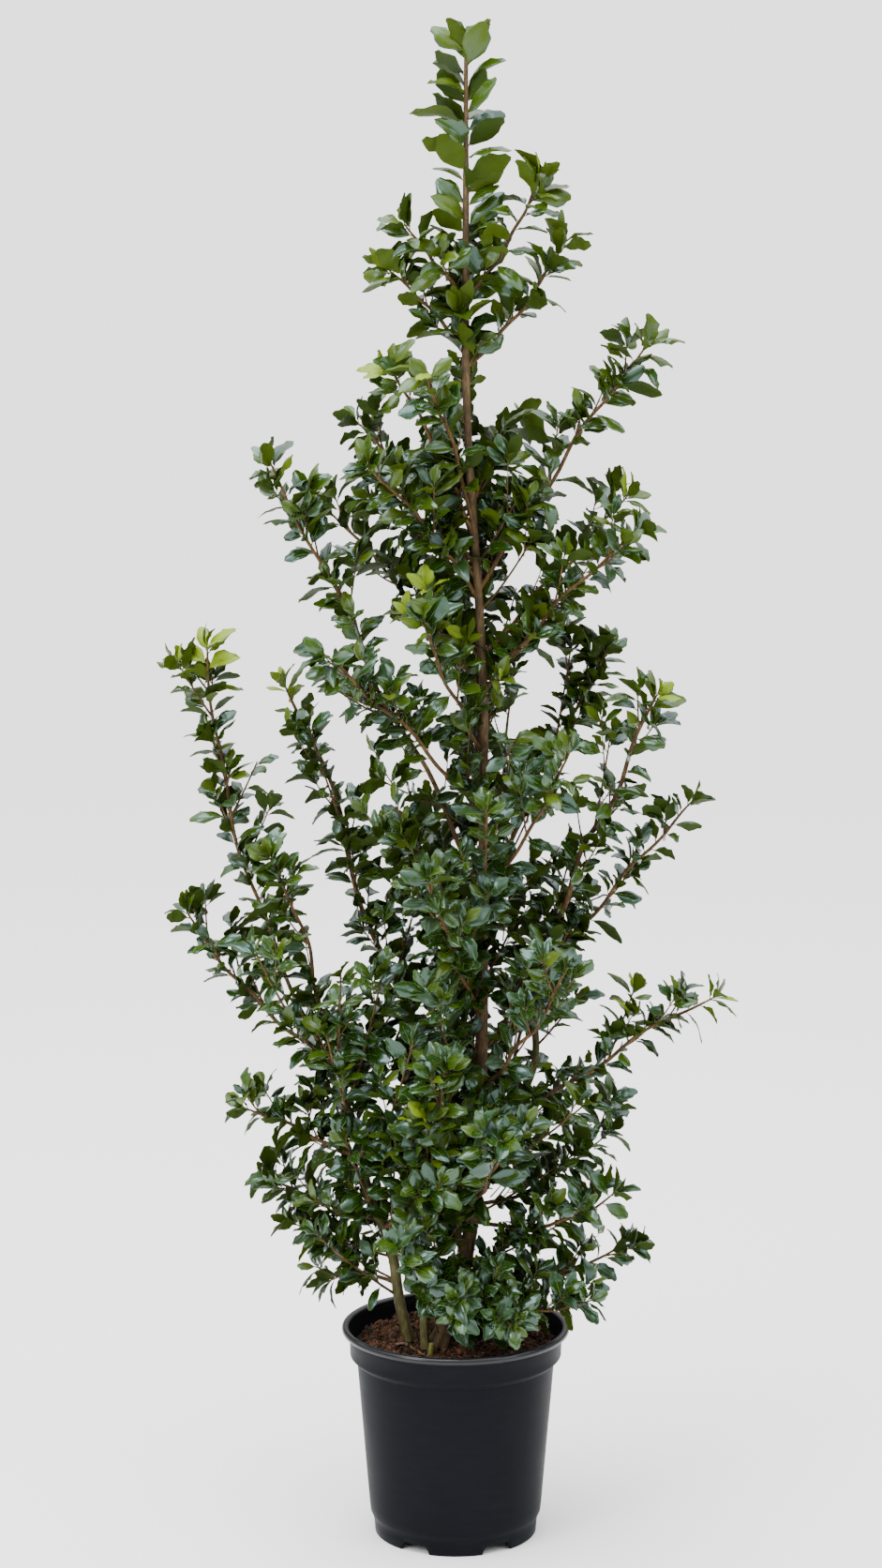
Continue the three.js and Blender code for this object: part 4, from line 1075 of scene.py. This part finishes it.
# %% Stalk and midrib
def rib_skins(line, sideways, face):
    """Stalk and midrib as one three-sided strip: one corner stands over the blade, two lie in it."""
    radius = RIB_RADII[None, :, None]
    offsets = (sideways[:, None] * wide + face[:, None] * high for wide, high in RIB_CORNERS)
    grid = np.stack([line + radius * offset for offset in offsets], axis=2)
    return grid * MM, line[:, 0] * MM, (line[:, -1] + (line[:, -1] - line[:, -2]) * 0.15) * MM


print("points of its stalk and midrib", RIB_RADII.size * len(RIB_CORNERS) + 2)

# %% [markdown]
# Each leaf is dealt one green: lime or fresh at the tips of the bright shoots, fresh at some others, and
# a share of deep, deep with a painted bluish sheen, and middle green for the rest, with fewer deep ones
# higher up. A colour by each leaf's place, worked out in the finish, would need the place stored in the
# mesh; greens as separate meshes are simpler. A green that has too many leaves for one mesh gets two.

# %% Leaves dealt to their greens
LEAVES_A_PIECE = 1700
deal = np.random.default_rng(5).uniform(size=(2, len(root)))
height = root[:, 2]
deep_share = np.interp(height, (300, 900, 1300, 1600), (0.46, 0.36, 0.16, 0.05))
# share of leaves in the deep green with the painted bluish sheen
deep_painted_sheen_share = np.interp(height, (900, 1600), (0.24, 0.10))
tender = np.interp(height, (600, 1100, 1600), (0.10, 0.25, 0.45)) * np.exp(-to_tip / 14)
tender += np.interp(height, (1250, 1600), (0, 0.3))
RULES = (  # a leaf has the green of the first rule that holds
    ("lime", (tone == LIME) & (to_tip < 30)),
    ("fresh", (tone == LIME) & (to_tip < 70)),
    ("lime", (tone == FRESH) & (to_tip < 5) & (deal[1] < 0.4)),
    ("fresh", (tone == FRESH) & (to_tip < 26)),
    ("fresh", deal[1] < tender),
    ("deep", deal[0] <= deep_share),
    ("deep_painted_sheen", deal[0] <= deep_share + deep_painted_sheen_share),
)
greens, holds = zip(*RULES)
kind = np.select(holds, greens, "mid")

for index, green in enumerate(UPPER):
    chosen = np.flatnonzero(kind == green)
    coats = [UPPER[green], BELOW.get(green, UNDERSIDE), MARGIN]
    pieces = math.ceil(len(chosen) / LEAVES_A_PIECE)
    for part, some in enumerate(np.array_split(chosen, pieces)):
        *skin, ribs = leaf_skins(root[some], way[some], face[some], size[some], 100 * index + part)
        piece = skin_mesh(f"leaves_{green}_{part + 1}", *skin, coats, LEAF_SLOTS, ON_MARGIN)
        dress(piece, "foliage", *FOLIAGE)
        piece = skin_mesh(f"ribs_{green}_{part + 1}", *rib_skins(*ribs), [STALK])
        dress(piece, "foliage", *FOLIAGE)

# %% [markdown]
# ## The pot
# A nursery pot is a thin moulded shell: a rolled lip, a straight collar with a step under it, a tapering
# body, and a foot ring with gaps for the water. A cylinder could be cut and bevelled to this shape, but the
# wall would have to be hollowed out and the gaps cut afterwards. So the section is drawn once, from the
# middle of the floor round the outside and back down the inside, and turned round the axis. The gaps are
# part of the same formula: near their bearings the ring's lower edge is lifted.

# %% Section of the pot
POT_HEIGHT, RIM_RADIUS, LIP_RADIUS, POT_WALL = 262.0, 140.0, 4.6, 2.2
COLLAR_RADIUS, COLLAR_FOOT, COLLAR_TOP = 130.4, 218.8, 251.5
BODY_TOP_RADIUS, BODY_FOOT_RADIUS, BODY_FOOT = 121.5, 105.2, 27.0
FOOT_RING_RADIUS, FOOT_RING_TOP, FOOT_RING_WIDTH = 100.5, 19.0, 4.0
FLOOR_HEIGHT, CENTRE_PAD_RADIUS = 10.5, 24.0
RING_INSIDE = 90.0  # what is further out than this and under the floor is the foot ring
NOTCH_BEARINGS, NOTCH_HALF = (-120.5, -59.5, 59.5, 120.5), math.radians(10.2)
NOTCH_SLOPE = 0.012  # half the turn over which the ring rises into a notch
POT_SIDES = 192


def pot_section():
    """Radius and height of the section's points. The lip is an arc of a circle, and the body's side is
    foot*(1-t) + top*t at even steps."""
    lip_middle, lip_height = RIM_RADIUS - LIP_RADIUS, POT_HEIGHT - LIP_RADIUS
    turn = np.radians(np.linspace(-110, 190, 22))
    lip = np.stack([lip_middle + LIP_RADIUS * np.cos(turn), lip_height + LIP_RADIUS * np.sin(turn)], axis=-1)
    body = np.linspace(0, 1, 24)[1:-1, None]
    side = np.array([[BODY_FOOT_RADIUS + 0.4, BODY_FOOT + 2]]) * (1 - body)
    side = side + np.array([[BODY_TOP_RADIUS - 0.3, COLLAR_FOOT - 2.5]]) * body
    ring = FOOT_RING_RADIUS - FOOT_RING_WIDTH
    underside = [  # the pad in the middle of the floor, the floor, and the foot ring up to the body
        (CENTRE_PAD_RADIUS - 1, 0), (CENTRE_PAD_RADIUS, 0.4), (CENTRE_PAD_RADIUS + 4, FLOOR_HEIGHT - 1),
        (CENTRE_PAD_RADIUS + 6, FLOOR_HEIGHT), (ring - 3, FLOOR_HEIGHT), (ring - 1.4, FLOOR_HEIGHT - 1),
        (ring, 0.6), (ring + 0.6, 0), (FOOT_RING_RADIUS - 1.6, 0), (FOOT_RING_RADIUS - 0.9, 0.6),
        (FOOT_RING_RADIUS, FLOOR_HEIGHT + 1), (FOOT_RING_RADIUS + 1, FOOT_RING_TOP),
        (FOOT_RING_RADIUS + 1.6, FOOT_RING_TOP + 1.2), (BODY_FOOT_RADIUS - 0.6, BODY_FOOT - 1),
        (BODY_FOOT_RADIUS, BODY_FOOT),
    ]
    collar = [  # the step under it, then its side
        (BODY_TOP_RADIUS - 0.5, COLLAR_FOOT - 1.6), (BODY_TOP_RADIUS - 0.4, COLLAR_FOOT - 0.9),
        (BODY_TOP_RADIUS + 0.9, COLLAR_FOOT - 0.6), (BODY_TOP_RADIUS + 1.3, COLLAR_FOOT - 0.2),
        (BODY_TOP_RADIUS + 1.7, COLLAR_FOOT + 0.5), (COLLAR_RADIUS - 1.6, COLLAR_FOOT + 5.4),
        (COLLAR_RADIUS - 0.9, COLLAR_FOOT + 6.2), (COLLAR_RADIUS - 0.6, COLLAR_FOOT + 7.2),
        (COLLAR_RADIUS - 0.5, COLLAR_FOOT + 10), (COLLAR_RADIUS, COLLAR_TOP),
    ]
    inside = [  # down the wall to the floor
        (COLLAR_RADIUS - POT_WALL, COLLAR_TOP - 1.5), (COLLAR_RADIUS - 1 - POT_WALL, COLLAR_FOOT + 9),
        (BODY_TOP_RADIUS - POT_WALL, COLLAR_FOOT), (FOOT_RING_RADIUS + 1 - POT_WALL, FOOT_RING_TOP),
        (FOOT_RING_RADIUS - POT_WALL, FLOOR_HEIGHT + POT_WALL), (40, FLOOR_HEIGHT + POT_WALL),
    ]
    return np.concatenate([underside, side, collar, lip, inside])


print("points of the section", len(pot_section()))

# %% Pot shell
def pot_shell():
    """Points (radius cos a, radius sin a, height); a point of the foot ring under the floor's height is
    lifted to it where its bearing is within a notch, with a short slope at each side."""
    section = pot_section()
    angle = np.linspace(0, 2 * np.pi, POT_SIDES, endpoint=False)
    gap = np.zeros(POT_SIDES)
    for bearing in NOTCH_BEARINGS:
        away = np.abs((angle - math.radians(bearing) + np.pi) % (2 * np.pi) - np.pi)
        gap = np.maximum(gap, np.clip((NOTCH_HALF + NOTCH_SLOPE - away) / (2 * NOTCH_SLOPE), 0, 1))
    radius, height = section[:, 0][:, None], section[:, 1][:, None]
    on_ring = (radius > RING_INSIDE) & (height < FLOOR_HEIGHT) & (radius < FOOT_RING_RADIUS + 0.5)
    lifted = np.where(on_ring, np.maximum(height, height + (FLOOR_HEIGHT - height) * gap[None, :]), height)
    across = radius * np.ones_like(angle)[None, :]
    grid = np.stack([across * np.cos(angle), across * np.sin(angle), lifted], axis=-1)
    return grid * MM


shell = pot_shell()
print("width of the pot", round(float(np.ptp(shell[..., 0])), 3), "m")

# %% Pot plastic
# the blue in these blacks is a painted reflection of a cool surround; the plastic itself is black
POT_SHADE, POT_BLACK = (0.0050, 0.0055, 0.0075), (0.0062, 0.0068, 0.0092)
POT_HAZE = (0.0086, 0.0094, 0.0122)
LIP_COAT = {"From_Min": 0.250, "From_Max": 0.256, "To_Max": 0.6}  # heights in metres, and its weight


def pot_finish():
    """Black plastic, satin where it was polished in the mould and duller in patches, with fine scuffs. The
    lip is glossier, by a coat that comes in over the last few millimetres of height."""
    finish = Finish("pot_plastic", POT_BLACK, 0.4, Specular_IOR_Level=0.1, IOR=1.25, Coat_Roughness=0.2)
    clouds = finish.mottle(scale=14, detail=5)
    grain = finish.mottle(scale=1500, detail=2)
    drag = finish.mottle(scale=26, detail=4, factors=(1, 1, 7))
    tone = clouds * 0.5 + drag * 0.5
    finish.set(Base_Color=finish.ramp(tone, (0.35, 0.6, 0.75), (POT_SHADE, POT_BLACK, POT_HAZE)))
    finish.set(Roughness=0.30 + clouds * 0.25)
    height = finish.add("ShaderNodeSeparateXYZ", Vector=finish.place(), output="Z")
    finish.set(Coat_Weight=finish.add("ShaderNodeMapRange", Value=height, **LIP_COAT))
    finish.bump(grain + drag * 0.5, depth=0.0002, strength=0.35)
    return finish.material


floor_low, floor_high = np.zeros(3), UP * (FLOOR_HEIGHT + POT_WALL) * MM
pot = skin_mesh("pot_shell", shell[None], floor_low[None], floor_high[None], [pot_finish()])
dress(pot, "pot", "pot")

# %% [markdown]
# ## Soil
# The pot is filled with bark compost. A flat disc would do from afar, but the camera sees into the rim, and
# the solid is a whole plug. So the bed is a plug too, which follows the pot's inside, with a lumpy top.

# %% Shape of the soil
SOIL_SETTLED = 2.6  # the bed is so much lower than the solid, which leaves room for the chips on it
SOIL_EDGE_DROP, SOIL_EDGE_WIDTH = 7.0, 14.0
LUMP, LUMP_WIDTH = 2.4, 19  # how high the large lumps are, and how wide
CRUMB, CRUMB_WIDTH = 1.5, 7  # and the small ones
SOIL_RADIUS = COLLAR_RADIUS - 1 - POT_WALL - 0.39
SOIL_FLOOR = FLOOR_HEIGHT + POT_WALL + 0.3
PLUG = np.array([  # radius and height, down the wall and in under the plug
    (SOIL_RADIUS, COLLAR_FOOT + 9.5), (119.0, COLLAR_FOOT), (99.1, FOOT_RING_TOP), (98.1, SOIL_FLOOR + 0.5),
    (60.0, SOIL_FLOOR),
])


def soil_height(x, y):
    """The soil's top: level in the middle, lower by the wall, with lumps of noise."""
    distance = np.hypot(x, y)
    edge = np.clip((distance - (SOIL_RADIUS - SOIL_EDGE_WIDTH)) / SOIL_EDGE_WIDTH, 0, 1)
    flat = np.stack([x, y, np.zeros_like(x)], axis=-1)
    lumps = LUMP * noise(flat, LUMP_WIDTH, 3) + CRUMB * noise(flat, CRUMB_WIDTH, 4)
    return SOIL_TOP - SOIL_SETTLED - SOIL_EDGE_DROP * edge**1.5 + lumps


def soil_skin(rings=60, sides=180):
    """Rings of points (radius cos a, radius sin a, height), from under the plug to the middle of its top."""
    angle = np.linspace(0, 2 * np.pi, sides, endpoint=False)[None, :]
    radius = np.concatenate([np.linspace(2, SOIL_RADIUS, rings), PLUG[:, 0]])[:, None]
    x, y = radius * np.cos(angle), radius * np.sin(angle)
    z = np.concatenate([soil_height(x[:rings], y[:rings]), np.repeat(PLUG[:, 1:], sides, axis=1)])
    return np.stack([x, y, z], axis=-1)[::-1] * MM


middle_height = float(soil_height(np.zeros(1), np.zeros(1))[0])
print("height in the middle", round(middle_height, 1), "mm")

# %% Soil bed
def earth_finish(name, dark, middle, pale, scale):
    """Crumbs of noise, which pick the tone and make the bumps."""
    finish = Finish(name, middle, 0.9, Specular_IOR_Level=0.2)
    crumbs = finish.mottle(scale, detail=6)
    finish.set(Base_Color=finish.ramp(crumbs, (0.35, 0.52, 0.7), (dark, middle, pale)))
    finish.bump(crumbs, depth=0.0015, strength=0.8)
    return finish.material


EARTHS = {  # dark, middle and pale tone, and how fine the mottling is
    "soil_earth": ((0.007, 0.004, 0.002), (0.022, 0.012, 0.007), (0.055, 0.030, 0.017), 260),
    "chip_dark": ((0.012, 0.006, 0.004), (0.034, 0.017, 0.009), (0.070, 0.036, 0.020), 500),
    "chip_red": ((0.034, 0.014, 0.007), (0.085, 0.036, 0.018), (0.150, 0.070, 0.036), 500),
    "chip_pale": ((0.080, 0.045, 0.024), (0.170, 0.100, 0.055), (0.280, 0.180, 0.105), 500),
}
EARTH = {name: earth_finish(name, *tones) for name, tones in EARTHS.items()}

bottom = np.array([0, 0, SOIL_FLOOR * MM])
top = np.array([0, 0, middle_height * MM])
bed = skin_mesh("soil_bed", soil_skin()[None], bottom[None], top[None], [EARTH["soil_earth"]])
dress(bed, "soil", "soil")

# %% [markdown]
# On the bed lie thousands of bark chips: flat, angular flakes a few millimetres across, tipped every way,
# in three browns. One flake could be scattered in copies, but the same outline would show again and again.
# So every flake gets its own uneven outline and its own tilt.

# %% Bark chips
CHIP_SIDES = 6
CHIP_WALL_GAP = 8  # millimetres between the wall and the middle of the nearest chip
CHIPS = {  # how many, how long at most, and finish
    "chips_dark": (1700, 14.0, "chip_dark"),
    "chips_red": (1100, 16.0, "chip_red"),
    "chips_pale": (240, 8.0, "chip_pale"),
}


def chip_skins(count, seed, longest):
    """Flakes of uneven sides: two rings round a flat spindle, tipped by a random turn of its frame."""
    draw = np.random.default_rng(seed)
    distance = (SOIL_RADIUS - CHIP_WALL_GAP) * np.sqrt(draw.uniform(0, 1, count))
    bearing = draw.uniform(0, 2 * np.pi, count)
    x, y = distance * np.cos(bearing), distance * np.sin(bearing)
    length = draw.uniform(0.35, 1, count) ** 1.5 * longest
    width, thick = length * draw.uniform(0.3, 0.75, count), draw.uniform(0.7, 2.6, count)
    normal = unit(UP + draw.normal(0, 0.6, (count, 3)))
    ahead = unit(np.cross(normal, draw.normal(0, 1, (count, 3))))
    aside = np.cross(normal, ahead)
    angle = np.linspace(0, 2 * np.pi, CHIP_SIDES, endpoint=False)
    uneven = draw.uniform(0.6, 1.1, (count, 1, CHIP_SIDES))
    out = (
        ahead[:, None, None] * (np.cos(angle) * uneven * length[:, None, None] / 2)[..., None]
        + aside[:, None, None] * (np.sin(angle) * uneven * width[:, None, None] / 2)[..., None]
    )
    rise = np.array([-0.5, 0.5])[None, :, None, None] * (normal * thick[:, None])[:, None, None, :]
    lift = 0.25 * thick + draw.uniform(0, 2.0, count)
    centre = np.stack([x, y, soil_height(x, y) + lift], axis=-1)
    grid = centre[:, None, None] + out * np.array([0.92, 1.0])[None, :, None, None] + rise
    cap = normal * (thick * 0.55)[:, None]
    return grid * MM, (centre - cap) * MM, (centre + cap) * MM


for seed, (name, (count, longest, earth)) in enumerate(CHIPS.items(), 40):
    piece = skin_mesh(name, *chip_skins(count, seed, longest), [EARTH[earth]], smooth=False)
    dress(piece, "soil", "soil")

# %% [markdown]
# Two small things lie by the stems: the stub of a shoot that was cut off last year, still yellow-green,
# and a dry twig that has dropped on the compost with one brown leaf at its end. Both are made by the same
# tube and the same leaf as the living ones, only with their own lines and finishes.

# %% Cut stub and fallen twig
STUB_FOOT, STUB_RISE, STUB_RADIUS = np.array([-31.0, -58.0, 240.0]), np.array([2.0, -2.0, 16.0]), 3.4
FALLEN_FROM, FALLEN_TO = np.array([-34.0, -72.0]), np.array([-56.0, -46.0])
FALLEN_LIFT, FALLEN_RISE, FALLEN_BOW = 1.8, 5.0, np.array([3.0, 4.0])
FALLEN_LEAF = 24.0
CUT_BARK = bark_finish("cut_bark", (0.060, 0.056, 0.010), (0.150, 0.150, 0.028), (0.260, 0.250, 0.070), 0.2)
DRY_BARK = bark_finish("dry_bark", (0.060, 0.034, 0.012), (0.180, 0.105, 0.036), (0.320, 0.200, 0.075))
DRY_LEAF = leaf_finish("leaf_dry", (0.0900, 0.0480, 0.0160), 0.6, 0.0)


def stub_line(shares):
    return STUB_FOOT + STUB_RISE * np.asarray(shares, float)[..., None]


def fallen_line(shares):
    """From one end to the other with a slight bow, a little over the soil, and higher towards the end."""
    t = np.asarray(shares, float)[..., None]
    flat = FALLEN_FROM + (FALLEN_TO - FALLEN_FROM) * t + FALLEN_BOW * np.sin(np.pi * t)
    height = soil_height(flat[..., 0], flat[..., 1]) + FALLEN_LIFT + FALLEN_RISE * t[..., 0] ** 2
    return np.concatenate([flat, height[..., None]], axis=-1)


stub = Limb(stub_line, lambda t: STUB_RADIUS * (1.1 - 0.15 * t), BACK, float(np.linalg.norm(STUB_RISE)))
limb_piece("cut_stub", [bark_tube(stub, 0.0, 1.0, 30, 14, 0.06)], CUT_BARK, ["front_stem"])
fallen = Limb(fallen_line, lambda t: 1.3 - 0.5 * t, BACK, float(np.linalg.norm(FALLEN_TO - FALLEN_FROM)))
limb_piece("fallen_twig", [bark_tube(fallen, 0.0, 1.0, 40, 8, 0.08)], DRY_BARK, ["soil"])
ahead = unit(np.append(FALLEN_TO - FALLEN_FROM, 4.0))[None]
dry_face = unit(np.cross(np.cross(ahead, UP), ahead) + np.array([0.2, -0.25, 0.0]))
*skin, _ = leaf_skins(fallen_line([1.0]), ahead, dry_face, np.array([FALLEN_LEAF]), 7)
dress(skin_mesh("fallen_leaf", *skin, [DRY_LEAF] * 3, LEAF_SLOTS, ON_MARGIN), "foliage", "soil")

# %% [markdown]
# ## Floor and light
# The plant stands on a plain white floor in soft studio light: a large panel overhead, one high on the left
# in front, and a weaker one on the right. One small lamp would draw hard shadows of thousands of leaves. A
# white surround fills the rest: it glows more from above than from the sides, and the camera sees it as
# plain white.

# %% Studio floor
FLOOR_SIZE = 14.0  # metres
half = FLOOR_SIZE / 2
corners = [(-half, -half, 0), (half, -half, 0), (half, half, 0), (-half, half, 0)]
floor_mesh = bpy.data.meshes.new("studio_floor")
floor_mesh.from_pydata(corners, [], [(0, 1, 2, 3)])
floor_mesh.materials.append(Finish("floor_white", (0.9, 0.9, 0.9), 0.9).material)
floor = bpy.data.objects.new("studio_floor", floor_mesh)
bpy.context.scene.collection.objects.link(floor)
floor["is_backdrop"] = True
print("floor", FLOOR_SIZE, "m wide")

# %% Light panels
PANELS = {  # place and size in metres, and power in watts
    "light_top": ((-0.8, -0.6, 4.6), 3.2, 250),
    "light_left": ((-3.2, -3.2, 2.9), 1.8, 125),
    "light_right": ((3.4, -2.4, 2.2), 1.6, 36),
}
MIDDLE = (0, 0, 0.95)


def panel(name, place, size, power):
    """A square light panel at place, turned to face the middle of the plant."""
    light = bpy.data.lights.new(name, "AREA")
    light.size = size
    light.energy = power
    lamp = bpy.data.objects.new(name, light)
    lamp.location = place
    offset = np.array(MIDDLE) - np.array(place)
    flat = math.hypot(offset[0], offset[1])
    lamp.rotation_euler = (math.atan2(flat, -offset[2]), 0, math.atan2(offset[1], offset[0]) - math.pi / 2)
    bpy.context.scene.collection.objects.link(lamp)


for name, row in PANELS.items():
    panel(name, *row)
print("light panels", len(PANELS))

# %% White surround
SKY_GLOW, SIDE_GLOW, BACKDROP_GLOW = 3.3, 0.4, 2.32  # from above, from the sides, and to the camera
SKY_RANGE = {"From_Min": 0.25, "From_Max": 0.8, "To_Min": SIDE_GLOW, "To_Max": SKY_GLOW}
world = bpy.data.worlds.new("studio")
sky = Nodes(world)
where = sky.add("ShaderNodeTexCoord", output="Generated")
steep = sky.add("ShaderNodeSeparateXYZ", Vector=where, output="Z")
glow = sky.add("ShaderNodeMapRange", Value=steep, **SKY_RANGE)
seen = sky.add("ShaderNodeLightPath", output="Is Camera Ray")
strength = sky.add("ShaderNodeMix", Factor=seen, A=glow, B=BACKDROP_GLOW)
sky.feed(sky.tree.nodes["Background"], Color=(1, 1, 1, 1), Strength=strength)
bpy.context.scene.world = world
print("glow from the sides", SIDE_GLOW, "and from above", SKY_GLOW)

# %% [markdown]
# ## Size of the dressed tree
# The box round the dressed tree, leaving out the floor, is printed. The dressed tree has to stay inside
# the size of the solids.

# %% Size of the dressed tree
low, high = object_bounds()
print("dressed", [round(v, 3) for v in (*low, *high)])
